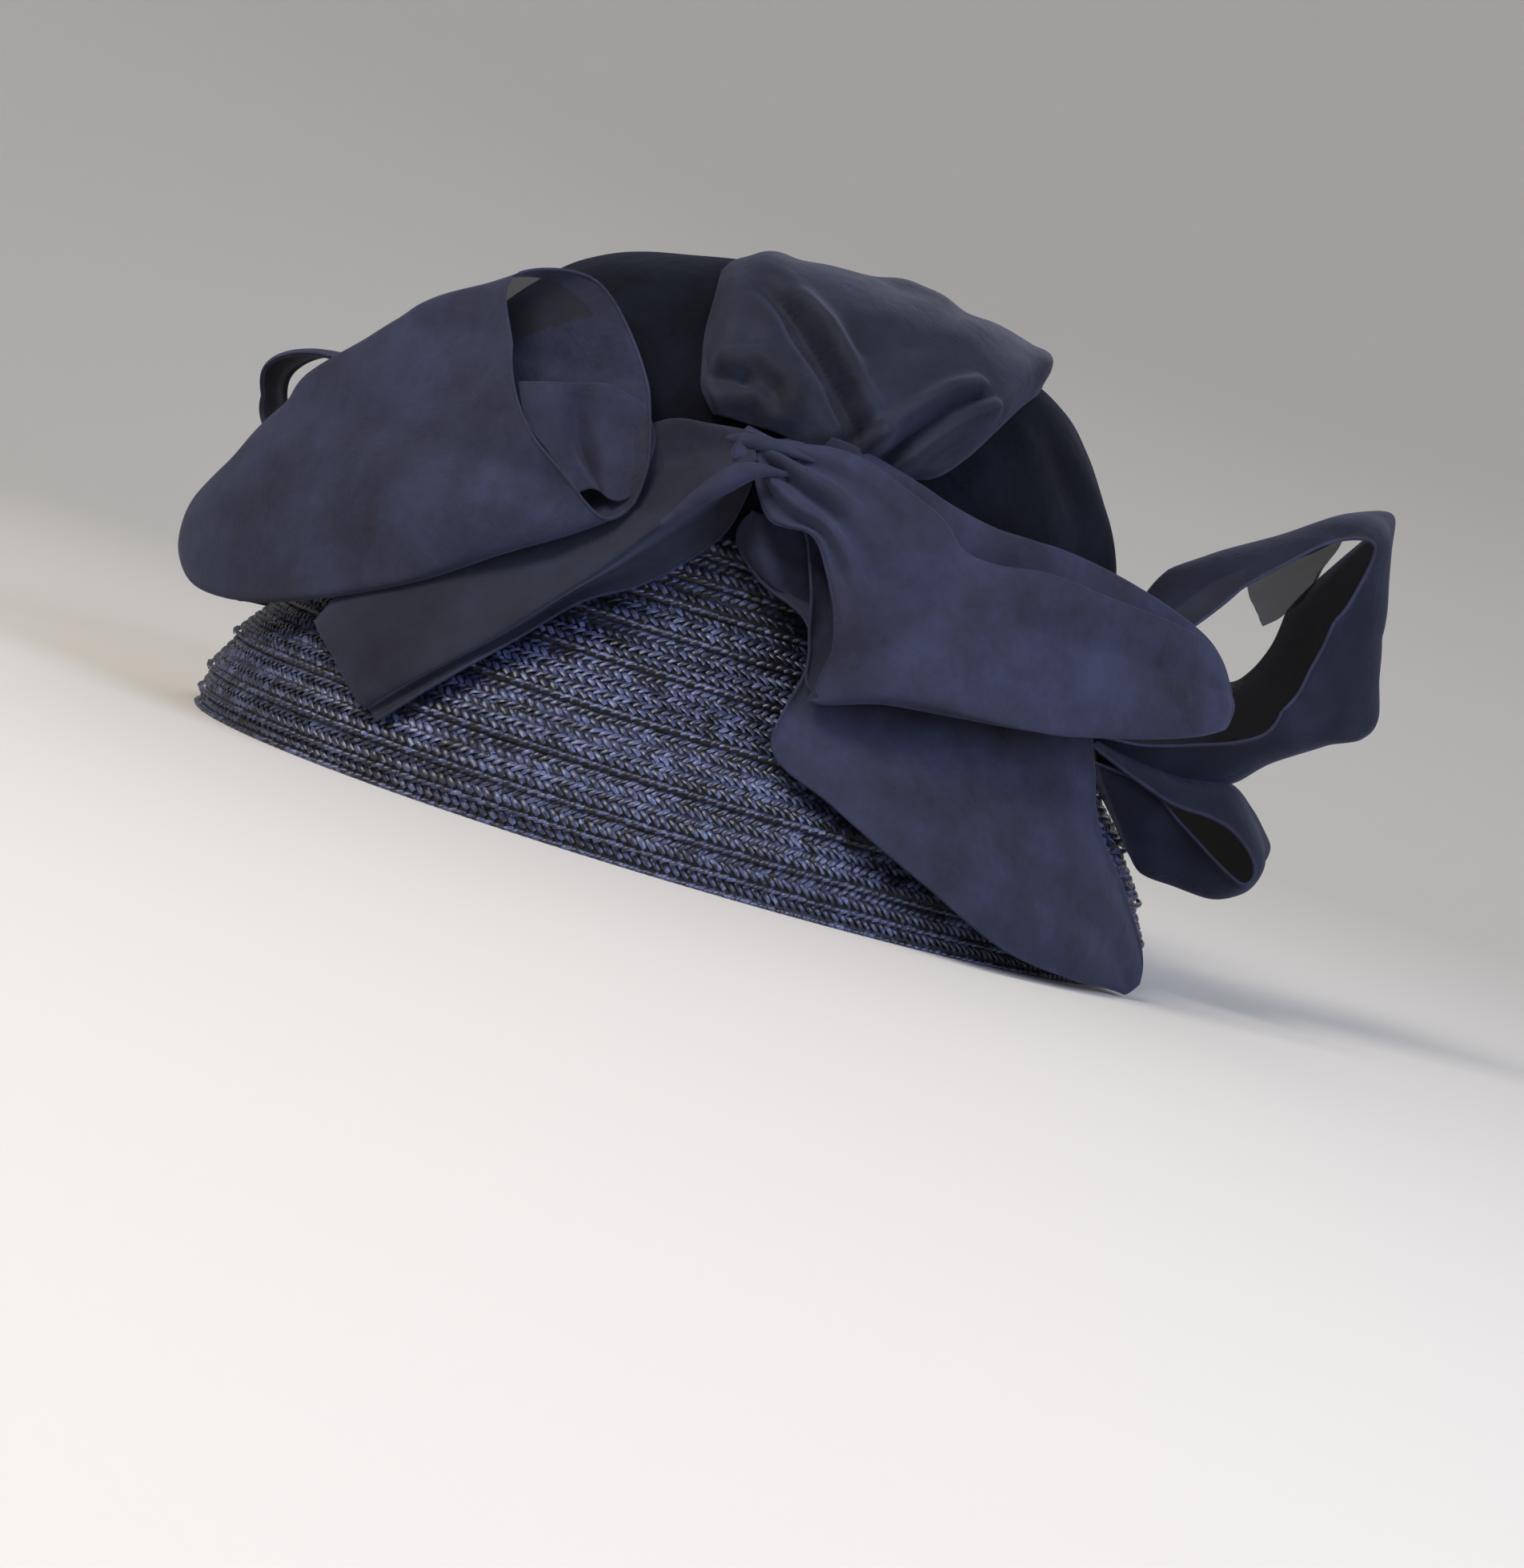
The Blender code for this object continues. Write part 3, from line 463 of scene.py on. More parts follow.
outside = straw_section()
straw_wall = finish_piece("straw_wall", turned_wall(outside + inside_section(STRAW_WALL)[::-1], 160),
                          shaded_ground_straw, ["straw_body"])

# %% [markdown]
# The braid itself is the hat's main surface. One cell of it is made flat: a few short strands that
# slant one way and then the other, as plaited strands do, and a twisted cord at the foot. The cell is
# repeated into a long braid by a spin with no angle, and the braid is then wound round the wall,
# row by row, as the hatter sews it. A little noise keeps the strands from lying too evenly.

# %% One strand and one cell of braid
LANE_WIDTH = 0.0025
STRAND_PITCH = 0.0024
STRAND_LENGTH, STRAND_WIDTH, STRAND_THICK = 0.0036, 0.0014, 0.0008
STRAND_SLANT = math.radians(38)
CORD_WIDTH, GROOVE = 0.0014, 0.0004
LAP, BED = 0.0011, 0.0001
UNEVEN, UNEVEN_SIZE = 0.00032, 0.0021
ROW_TURN = 7.3


def add_strand(builder, middle, slant, length, width, thick):
    """A short domed strand that dives at both ends."""
    made = bmesh.ops.create_grid(builder, x_segments=3, y_segments=2, size=0.5)["verts"]
    for vertex in made:
        along, across = vertex.co.x, vertex.co.y
        dome = (1 - (2 * along) ** 2) * 0.75 + (1 - (2 * across) ** 2) * 0.45 - 0.2
        x, y = along * length, across * width * (1 - 0.9 * along * along)
        vertex.co = Vector((middle[0] + x * math.cos(slant) - y * math.sin(slant),
                            middle[1] + x * math.sin(slant) + y * math.cos(slant), dome * thick))
    return made


def braid_strip(lanes, count, pitch, width):
    """A flat braid: count cells side by side."""
    builder = bmesh.new()
    foot = CORD_WIDTH + GROOVE
    room = width - foot
    for lane in range(lanes):
        side = 1 if lane % 2 else -1
        middle = ((lane % 2) * pitch / 2, foot + room * (lane + 0.5) / lanes)
        add_strand(builder, middle, side * STRAND_SLANT, STRAND_LENGTH,
                   min(STRAND_WIDTH, 0.72 * room / lanes), STRAND_THICK)
    add_strand(builder, (0.0, CORD_WIDTH * 0.30), math.radians(16), pitch * 1.35, CORD_WIDTH * 0.8,
               STRAND_THICK * 1.3)
    bmesh.ops.spin(builder, geom=builder.verts[:] + builder.edges[:] + builder.faces[:],
                   cent=(0, 0, 0), axis=(0, 0, 1), dvec=(pitch, 0, 0), angle=0.0,
                   steps=count - 1, use_duplicate=True)
    return builder


# %% Wind the braid round the wall
NOISE_SEED = 5
noise.seed_set(NOISE_SEED)


def wind_row(builder, low, high, pitch, count, turn_from, width):
    """Bend a flat strip onto the wall between two seams."""
    low_spread, high_spread = flare_at(low) + BRAID_STEP, flare_at(high)
    run, rise = high_spread - low_spread, high - low
    length = math.hypot(run, rise)
    out, up_part = rise / length, -run / length
    for vertex in builder.verts:
        vertex.co += noise.noise_vector((vertex.co + Vector((0, low, 0))) / UNEVEN_SIZE) * UNEVEN
        across = vertex.co.y / width
        angle = turn_from + 360.0 * vertex.co.x / (pitch * count)
        direction = bow_direction(angle)
        lift = vertex.co.z + BED + LAP * (1 - across)
        reach = oval_reach(direction, low_spread + run * across) + lift * out
        height = max(0.0, low + rise * across + lift * up_part)
        vertex.co = AXIS + direction * reach + Vector((0, 0, height))


def wind_rows(name, seams):
    """Rows of braid between these seams, as one piece; each row starts a little further round."""
    whole = bmesh.new()
    for number, (low, high) in enumerate(zip(seams, seams[1:])):
        low, high = low * BRIM_DEPTH, high * BRIM_DEPTH
        width = math.hypot(high - low, flare_at(high) - flare_at(low) - BRAID_STEP)
        spread = flare_at((low + high) / 2)
        round_it = math.pi * (HEAD_LENGTH + HEAD_WIDTH + 4 * spread) / 2
        count = round(round_it / STRAND_PITCH)
        pitch = round_it / count
        lanes = max(1, round((width - CORD_WIDTH - GROOVE) / LANE_WIDTH))
        strip = braid_strip(lanes, count, pitch, width)
        wind_row(strip, low, high, pitch, count, ROW_TURN * number, width)
        spare = bpy.data.meshes.new("row")
        strip.to_mesh(spare)
        strip.free()
        whole.from_mesh(spare)
        bpy.data.meshes.remove(spare)
    return finish_piece(name, whole, strand_straw, [])


braid_low = wind_rows("braid_at_the_rim", SEAMS[:6])
braid_high = wind_rows("braid_below_the_bow", SEAMS[5:])

# %% [markdown]
# Inside the brim lies a smooth dark lining, from a finger's width above the rim to just inside the
# crown. It shows only from below.

# %% Lining
lining_heights = [LINING_MARGIN + (BRIM_DEPTH + LINING_RISE - LINING_MARGIN) * k / 12 for k in range(13)]


def lining_place(across, along):
    """Inside the straw, clear of it."""
    height = lining_heights[round(along * 12)]
    direction = bow_direction(360.0 * across)
    share = along_table(CROWN_PROFILE, max(0.0, (height - BRIM_DEPTH) / CROWN_RISE))
    reach = oval_reach(direction, flare_at(height) - STRAW_WALL - CLEARANCE - CLOTH, share)
    return AXIS + direction * reach + Vector((0, 0, height))


lining = finish_piece("brim_lining_cloth",
                      drape_cut(lining_place, (0.72, 0.085), (160, 12), closed=True),
                      lining_cloth, ["brim_lining"], thickness=0.0006)

# %% [markdown]
# The organza cover is one piece of cloth stretched over the crown and sewn down at its foot, so it has
# soft upright folds that fade towards the top. Beside the knot the bow pulls it up into a low hump.


# %% Cover over the crown
HUMP, HUMP_TURN, HUMP_WIDTH = 0.0065, -14.0, 24.0
NARROW_FOLDS, COVER_SHARE = 17, 0.8


def loose_at(turn, rise):
    """How far the cover stands off where the swath pulls it up."""
    away = (turn + 180.0 - HUMP_TURN) % 360.0 - 180.0
    fade = smooth(0.2, 0.7, rise) * smooth(0, 0.06, 1 - rise)
    return HUMP * math.exp(-(away / HUMP_WIDTH) ** 2) * fade


def cover_place(across, along):
    """The cover, from its foot to the tip of the crown."""
    rise = math.sin(along * math.pi / 2)
    turn = 360.0 * across
    direction = bow_direction(turn)
    fold = math.sin(math.radians(turn) * DRAPE_FOLDS + 3 * rise)
    fold += 0.5 * math.sin(math.radians(turn) * NARROW_FOLDS + 5 * rise + 1.3)
    fold *= DRAPE_FOLD_DEPTH * math.sin(math.pi * rise) ** 2 * COVER_SHARE
    fold += loose_at(turn, rise)
    reach = oval_reach(direction, cover_spread(rise), along_table(DRAPE_PROFILE, rise)) + fold
    height = BRIM_DEPTH + DRAPE_RISE * rise + 0.5 * loose_at(turn, rise)
    return AXIS + direction * max(0.0, reach) + Vector((0, 0, height))


cover = finish_piece("crown_cover", drape_cut(cover_place, (0.62, 0.16), (200, 60), closed=True),
                     cover_silk, ["crown_drape"])

# %% [markdown]
# The puff is a wide swath of organza that comes out of the knot and opens over the crown. Its few
# big folds lie as they fell when the knot was drawn tight, so each one is a line read from the
# photograph, and its right side hangs over the cover as a soft roll. Behind the top it narrows to
# a tongue that is tucked flat on the cover.


# %% Puff over the crown
HALVINGS = 24


def dome_reach(direction):
    """Distance from the middle of the crown's foot to the cover, along a direction."""
    flat = Vector((direction.x, direction.y, 0.0))
    turn = math.degrees(math.atan2(flat.dot(bow_direction(90.0)), flat.dot(bow_direction(0.0))))
    low, high = 0.0, HEAD_LENGTH
    for _ in range(HALVINGS):
        middle = (low + high) / 2
        rise = middle * direction.z / DRAPE_RISE
        inside = rise < 1.0
        if inside and flat.length > 1e-6:
            spread = cover_spread(rise) + DRAPE_FOLD_DEPTH + loose_at(turn, rise)
            reach = oval_reach(flat.normalized(), spread, along_table(DRAPE_PROFILE, rise))
            inside = middle * flat.length < reach
        low, high = (middle, high) if inside else (low, middle)
    return low


def over_dome(roll, tilt, lift):
    """Place over the crown: roll from the bow over the top, tilt to the side, lift in metres."""
    roll, tilt = math.radians(roll), math.radians(tilt)
    forward, side = bow_direction(0.0), bow_direction(90.0)
    direction = (forward * math.cos(roll) + Vector((0, 0, math.sin(roll)))) * math.cos(tilt)
    direction += side * math.sin(tilt)
    return AXIS + Vector((0, 0, BRIM_DEPTH)) + direction * (dome_reach(direction) + lift)


# Width of its rounded sides as shares, and the rolls in degrees between which its folds lie quiet
# Rows: roll over the crown, left and right tilt in degrees, share of the puff's lift
PUFF_LIFT, FOLD_UNIT, PUFF_REST = 0.0060, 0.0015, 0.0009
PUFF_SIDES = 0.12, 0.10
PUFF_QUIET = 33, 42, 52, 66
PUFF_ROWS = ((16, -11, 15, 0.25), (20, -14, 23, 0.7), (27, -15.5, 28, 1.1), (36, -16.5, 32, 1.15),
             (48, -18, 36, 1.1), (64, -17, 40, 1.0), (85, -19, 41, 0.8), (110, -19, 38, 0.6),
             (132, -15, 26, 0.4), (150, -4, 9, 0.12))
# Folds: height in fold units (a hollow is below zero), half width in degrees, and roll and tilt along it
PUFF_FOLDS = (
    (2.4, 1.8, ((22, -12), (24.5, -7), (22.5, -2), (18, -1))),
    (-1.8, 1.2, ((23, -15), (21, -12), (21, -8.5))),
    (2.6, 1.6, ((17.5, -12.5), (17.5, -9.5), (19, -6), (17, -3))),
    (-5.6, 2.3, ((38, -9.5), (35, -6), (31, -3), (27, 2), (23.5, 6), (20, 9))),
    (3.4, 1.9, ((37, -4.5), (33, 0), (28, 4.5), (23.5, 9), (20, 11.5))),
    (-2.6, 2.6, ((33, 6), (38, 10), (42, 16), (43, 21))),
    (3.2, 1.4, ((17.5, 10.5), (24, 13.5), (32, 19), (38, 24))),
    (-3.4, 1.3, ((15.5, 12.5), (22, 15.5), (30, 20.5), (36, 25))),
    (2.8, 1.5, ((15, 14.5), (20.5, 18), (28, 22.5), (35, 27.5))),
    (-2.2, 1.8, ((17, 18), (22, 21.5), (29, 26), (36, 31))),
    (1.8, 2.4, ((18, 22), (24, 26), (34, 30.5), (47, 34.5), (70, 38))),
    (2.0, 6.0, ((62, 12), (90, 14), (128, 8))),
    (-1.8, 5.0, ((66, 0), (92, 3), (128, 1))),
)


def near_line(line, roll, tilt):
    """Distance in degrees from a place to a line of points."""
    best = 1e9
    for (r0, t0), (r1, t1) in zip(line, line[1:]):
        run, side = r1 - r0, t1 - t0
        share = max(0.0, min(1.0, ((roll - r0) * run + (tilt - t0) * side) / (run * run + side * side)))
        best = min(best, math.hypot(roll - r0 - run * share, tilt - t0 - side * share))
    return best


def puff_place(across, along):
    """The swath, folded at the knot and loose over the side."""
    last = len(PUFF_ROWS) - 1
    i = min(int(along * last), last - 1)
    four = [PUFF_ROWS[min(max(i + k, 0), last)] for k in (-1, 0, 1, 2)]
    roll, left, right_side, lift = (curve_value(*values, along * last - i) for values in zip(*four))
    tilt = left + (right_side - left) * across
    body = math.sin(min(1.0, across / PUFF_SIDES[0], (1.0 - across) / PUFF_SIDES[1]) * math.pi / 2)
    folds = sum(depth * math.exp(-(near_line(line, roll, tilt) / width) ** 2)
                for depth, width, line in PUFF_FOLDS)
    folds *= 1 - 0.85 * smooth(*PUFF_QUIET[:2], roll) * (1 - smooth(*PUFF_QUIET[2:], roll))
    height = PUFF_LIFT * lift * (0.75 + 0.6 * across) * body
    height = (height + FOLD_UNIT * folds * min(1.0, 3 * body)) * min(1.0, 0.35 + lift)
    return over_dome(roll, tilt, max(0.0002, height) + PUFF_REST)


def puff_crease(across, along):
    """Small soft creases between the folds."""
    edge = smooth(0.0, 0.08, across) * smooth(0.0, 0.06, 1 - across) * smooth(0, 0.1, along)
    return 0.0004 * edge * math.sin(19 * along + 9 * math.sin(5 * across) + 4 * across)


puff = finish_piece("crown_swath", drape_cut(puff_place, (0.115, 0.165), (120, 110), puff_crease),
                    swath_silk, ["crown_puff"], thickness=0.0005, offset=1.0)

# %% [markdown]
# The bow. Each loop and tail is a table of sections, from the knot to the tip. Most points are written
# as readings of the photograph: the pixel across, the pixel down, and how many centimetres the cloth
# stands in front of the hat's axis, which a picture doesn't show and which is judged. Where cloth hides
# behind other cloth, the point is a guess. One function follows the line of sight to that depth and
# gives the place as a turn from the middle of the bow in degrees, a share of the bow's rise and a
# share of its stand. A reading is good to about a millimetre, so the place is rounded to that. The
# other points are set as turn, rise and stand.

# %% From readings to places
photo_toward, photo_right, photo_up, photo_eye = camera_frame(PHOTO_RISE, PHOTO_HAT_Y)
CENTIMETRE = 0.01


def place_of_reading(across, down, depth, lowest):
    """Turn, share of the rise and share of the stand; the cloth stands off by lowest at least."""
    forward, side = bow_direction(0.0), bow_direction(90.0)
    sight = (photo_right * (across - IMAGE_WIDTH / 2) + photo_up * (IMAGE_HEIGHT / 2 - down))
    sight = sight / FOCAL_PIXELS - photo_toward
    start = photo_eye - AXIS
    point = start + sight * ((depth * CENTIMETRE - start.dot(forward)) / sight.dot(forward))
    turn = math.degrees(math.atan2(point.dot(side), point.dot(forward)))
    lift = math.hypot(point.dot(side), point.dot(forward)) - seat_reach(bow_direction(turn), point.z)
    return round(turn, 1), round(point.z / BOW_RISE, 2), max(lowest, round(lift / BOW_STAND, 2))


def sections(readings, lowest=0.03):
    """The places of every section's readings."""
    return tuple(tuple(place_of_reading(*reading, lowest) for reading in row) for row in readings)


print("camera of the photograph, mm above the floor:", round(1000 * photo_eye.z))

# %% Sections of the front bow
KNOT_TURN = -3.0

# Left loop, round from the front's high edge: four points of the front, the low edge, and the back
LEFT_LOOP = sections((
    ((684, 323, 9.3), (684, 385, 10.4), (697, 452, 11.3), (735, 505, 11.7),
     (803, 577, 11.5), (850, 525, 10.7), (842, 425, 9.8), (780, 332, 9.2)),
    ((636, 345, 8.7), (634, 425, 9.9), (645, 500, 10.9), (675, 560, 11.4),
     (745, 600, 11.4), (800, 555, 10.4), (790, 440, 9.3), (715, 352, 8.6)),
    ((560, 378, 7.9), (560, 450, 9.1), (572, 530, 10.2), (600, 590, 11.0),
     (655, 628, 11.1), (700, 590, 9.9), (690, 480, 8.6), (625, 385, 7.8)),
    ((480, 428, 7.0), (478, 490, 8.1), (488, 560, 9.2), (515, 625, 10.2),
     (550, 662, 10.4), (600, 625, 9.1), (590, 520, 7.8), (530, 430, 6.9)),
    ((400, 490, 6.0), (390, 545, 7.0), (395, 610, 8.0), (420, 665, 9.0),
     (445, 690, 9.2), (495, 650, 8.0), (490, 570, 6.8), (440, 490, 5.9)),
    ((330, 565, 4.8), (310, 610, 5.7), (310, 655, 6.5), (330, 700, 7.2),
     (350, 718, 7.4), (395, 690, 6.6), (390, 625, 5.6), (350, 565, 4.7)),
    ((272, 630, 3.8), (255, 660, 4.3), (255, 690, 4.8), (268, 718, 5.2),
     (285, 728, 5.3), (305, 710, 5.0), (305, 675, 4.4), (290, 640, 3.8)),
    ((253, 668, 3.4), (246, 678, 3.6), (245, 692, 3.8), (251, 708, 4.0),
     (260, 714, 4.1), (270, 704, 4.1), (272, 688, 3.8), (266, 674, 3.5)),
))
# Fold inside its mouth, from its top edge down to the lip
LOOP_INNER = sections((
    ((696, 428, 10.6), (728, 427, 10.6), (765, 428, 10.6), (800, 433, 10.5),
     (827, 446, 10.3), (848, 463, 10.1)),
    ((705, 470, 10.9), (740, 465, 10.8), (762, 470, 10.4), (792, 475, 10.6),
     (825, 490, 10.4), (858, 505, 10.2)),
    ((730, 500, 11.2), (752, 500, 10.9), (768, 515, 10.5), (795, 525, 10.8),
     (822, 535, 10.7), (845, 540, 10.5)),
    ((768, 545, 11.4), (782, 545, 11.1), (792, 552, 10.9), (803, 560, 11.0),
     (815, 563, 10.9), (830, 562, 10.8)),
))
# Left tail: edge of the under layer, hollow, ridge, middle, top behind the loop, back, back edge
LEFT_TAIL = sections((
    ((985, 530, 10.2), (984, 525, 10.4), (984, 519, 10.9), (982, 507, 10.8),
     (980, 494, 10.5), (981, 507, 10.2), (984, 528, 10.0)),
    ((950, 602, 9.8), (932, 578, 10.0), (925, 551, 11.4), (915, 522, 10.2),
     (925, 486, 10.3), (925, 520, 10.0), (945, 597, 9.5)),
    ((905, 640, 10.0), (885, 614, 10.1), (868, 584, 11.5), (858, 538, 10.1),
     (868, 481, 10.1), (872, 535, 9.9), (895, 632, 9.7)),
    ((840, 667, 10.4), (824, 645, 10.4), (810, 620, 11.7), (795, 574, 10.2),
     (795, 515, 9.8), (805, 575, 9.9), (832, 660, 10.1)),
    ((765, 682, 10.9), (752, 674, 10.8), (738, 666, 11.8), (712, 620, 10.5),
     (700, 560, 9.6), (722, 620, 9.9), (758, 676, 10.6)),
    ((672, 727, 11.6), (662, 720, 11.4), (650, 714, 11.9), (618, 665, 10.8),
     (600, 610, 9.3), (630, 668, 10.1), (665, 720, 11.2)),
    ((588, 768, 11.9), (578, 760, 11.7), (566, 752, 12.0), (535, 705, 10.9),
     (506, 656, 9.0), (545, 708, 10.2), (580, 762, 11.5)),
    ((518, 811, 11.7), (508, 800, 11.5), (495, 790, 11.6), (462, 750, 10.6),
     (435, 721, 9.3), (470, 755, 10.1), (510, 804, 11.3)),
))
# Right loop: top edge, three points of the front, low edge of the back, its middle and its top
# Its root lies in the knot, set there as turn, rise and stand
RIGHT_ROOT = (
    ((-3.6, 1.08, 0.08), (-3.5, 1.07, 0.11), (-3.5, 1.04, 0.11), (-3.6, 1.02, 0.09),
     (-3.7, 1.03, 0.05), (-3.7, 1.06, 0.04), (-3.7, 1.09, 0.04)),
)
RIGHT_LOOP = RIGHT_ROOT + sections((
    ((1060, 508, 10.4), (1048, 535, 11.0), (1030, 562, 11.3), (1000, 585, 11.0),
     (1000, 585, 10.2), (1030, 545, 9.8), (1062, 510, 9.6)),
    ((1110, 528, 10.3), (1094, 565, 11.1), (1078, 592, 11.5), (1056, 600, 11.5),
     (1040, 606, 10.6), (1070, 565, 9.9), (1116, 532, 9.5)),
    ((1163, 562, 10.2), (1140, 606, 11.1), (1112, 645, 11.6), (1080, 662, 11.8),
     (1051, 668, 10.8), (1104, 615, 9.9), (1170, 566, 9.4)),
    ((1205, 598, 10.2), (1170, 652, 11.1), (1128, 705, 11.8), (1084, 725, 12.0),
     (1050, 735, 11.0), (1120, 670, 9.9), (1215, 596, 9.2)),
    ((1231, 635, 10.1), (1188, 697, 11.0), (1132, 755, 11.8), (1066, 785, 12.0),
     (1057, 782, 11.4), (1140, 715, 9.9), (1262, 622, 9.0)),
    ((1272, 655, 10.0), (1238, 725, 10.9), (1196, 782, 11.6), (1150, 796, 11.7),
     (1146, 794, 11.2), (1215, 735, 9.5), (1306, 642, 8.5)),
    ((1335, 672, 9.6), (1305, 758, 10.3), (1270, 815, 11.0), (1236, 818, 11.2),
     (1232, 816, 10.7), (1290, 760, 8.8), (1350, 666, 7.8)),
    ((1405, 712, 8.5), (1382, 797, 9.3), (1360, 850, 10.0), (1338, 850, 10.2),
     (1334, 848, 9.7), (1370, 790, 8.1), (1412, 708, 7.1)),
    ((1474, 761, 7.0), (1464, 827, 7.5), (1455, 875, 8.1), (1440, 884, 8.3),
     (1436, 880, 7.8), (1450, 825, 6.6), (1475, 760, 6.0)),
    ((1518, 806, 5.8), (1522, 852, 6.0), (1518, 888, 6.4), (1505, 901, 6.5),
     (1502, 898, 6.0), (1512, 850, 5.5), (1516, 806, 5.2)),
    ((1541, 866, 5.1), (1546, 884, 5.1), (1543, 900, 5.2), (1534, 908, 5.3),
     (1533, 906, 5.1), (1542, 885, 4.95), (1540, 868, 4.95)),
))
# Right tail from under the knot to the rim: low edge, middle, high edge
# Its tip is rounded, set as turn, rise and stand
RIGHT_TIP = (
    ((61.8, 0.02, 0.11), (63.4, 0.07, 0.12), (66.0, 0.14, 0.13)),
    ((65.6, 0.012, 0.12), (66.0, 0.025, 0.127), (66.7, 0.045, 0.133)),
)
RIGHT_TAIL = sections((
    ((972, 596, 9.3), (990, 600, 9.4), (1030, 605, 9.2)),
    ((956, 622, 9.8), (1005, 640, 10.2), (1062, 640, 9.3)),
    ((985, 666, 10.1), (1035, 690, 9.9), (1105, 682, 9.1)),
    ((1042, 712, 10.5), (1092, 724, 9.7), (1172, 730, 8.6)),
    ((1047, 760, 11.0), (1125, 770, 9.9), (1240, 782, 8.1)),
    ((1010, 843, 11.9), (1140, 825, 10.2), (1310, 822, 7.5)),
    ((1085, 912, 12.2), (1215, 890, 10.3), (1372, 857, 7.0)),
    ((1190, 1003, 12.0), (1290, 960, 9.9), (1383, 931, 6.9)),
    ((1290, 1106, 10.7), (1352, 1052, 9.2), (1394, 1012, 6.8)),
    ((1372, 1175, 8.5), (1402, 1130, 7.8), (1425, 1100, 6.2)),
), lowest=0.02) + RIGHT_TIP
# Strands of cloth that turn round each other in the knot, from the left tail to the right loop, as
# turn, rise and stand, apart from the start of the second, which is read
TWIST_STRANDS = (
    ((-14.5, 1.05, 0.01), (-9.0, 1.07, 0.07), (-3.4, 1.08, 0.12), (2.4, 1.08, 0.13),
     (9.0, 1.07, 0.09)),
    sections((((790, 634, 11.1), (865, 587, 11.4), (928, 546, 11.5)),))[0]
    + ((-2.8, 1.01, 0.18), (4.0, 1.03, 0.12)),
)
print("sections:", len(LEFT_LOOP), len(LEFT_TAIL), len(RIGHT_LOOP), len(RIGHT_TAIL))

# %% Sections of the back loops and the far side
BACK_KNOT_TURN = 88.0
# Near edge, middle, far edge, out from the back knot and back to it
BACK_LOOP_UPPER = sections((
    ((1352, 884, 2.4), (1362, 868, 1.2), (1372, 862, -0.2)),
    ((1435, 838, 2.8), (1425, 788, 0.8), (1446, 842, -2.0)),
    ((1509, 797, 2.4), (1492, 757, 0.0), (1523, 806, -3.2)),
    ((1575, 763, 1.5), (1572, 744, -1.2), (1590, 798, -4.2)),
    ((1641, 738, 0.6), (1652, 727, -2.0), (1658, 778, -5.0)),
    ((1690, 752, 0.0), (1699, 750, -2.7), (1688, 766, -5.6)),
    ((1660, 813, 0.1), (1701, 820, -2.5), (1634, 815, -5.5)),
    ((1641, 849, 0.2), (1700, 868, -2.4), (1594, 850, -5.3)),
    ((1622, 890, 0.4), (1697, 925, -2.2), (1570, 884, -5.2)),
    ((1595, 931, 0.7), (1692, 990, -2.0), (1552, 916, -5.0)),
    ((1573, 957, 1.0), (1638, 998, -1.7), (1533, 942, -4.6)),
    ((1540, 968, 1.3), (1578, 1013, -1.2), (1508, 944, -3.8)),
    ((1495, 966, 1.7), (1520, 1034, -0.7), (1476, 912, -2.6)),
    ((1425, 961, 2.2), (1440, 1016, 0.2), (1415, 860, -1.4)),
    ((1350, 944, 2.2), (1360, 988, 1.0), (1356, 850, -0.3)),
), lowest=0.05)
BACK_LOOP_LOWER = sections((
    ((1365, 955, 2.6), (1374, 958, 1.2), (1376, 965, 0.0)),
    ((1455, 1020, 2.6), (1462, 1010, 0.4), (1456, 1030, -1.4)),
    ((1509, 1046, 2.2), (1527, 1034, -0.2), (1500, 1060, -2.4)),
    ((1540, 1072, 1.8), (1553, 1073, -0.6), (1530, 1090, -2.9)),
    ((1560, 1104, 1.5), (1567, 1107, -0.9), (1550, 1120, -3.2)),
    ((1566, 1130, 1.4), (1570, 1134, -1.0), (1562, 1132, -3.5)),
    ((1550, 1138, 1.5), (1546, 1166, -0.8), (1555, 1118, -3.3)),
    ((1518, 1104, 1.8), (1510, 1175, -0.4), (1530, 1085, -3.0)),
    ((1476, 1056, 2.2), (1462, 1156, 0.0), (1490, 1045, -2.4)),
    ((1432, 1006, 2.6), (1415, 1130, 0.8), (1425, 1005, -1.5)),
    ((1358, 975, 2.4), (1352, 1080, 1.4), (1360, 990, -0.4)),
), lowest=0.04)
# One layer of cloth inside the upper loop; its lighter tones are painted light shining through it
BACK_INNER = sections((
    ((1523, 806, -3.4), (1536, 845, -3.0), (1552, 868, -2.6)),
    ((1556, 803, -3.9), (1560, 830, -3.4), (1572, 862, -3.0)),
    ((1598, 797, -4.4), (1598, 818, -4.0), (1594, 846, -3.6)),
    ((1640, 783, -4.9), (1632, 798, -4.6), (1612, 822, -4.3)),
), lowest=0.05)
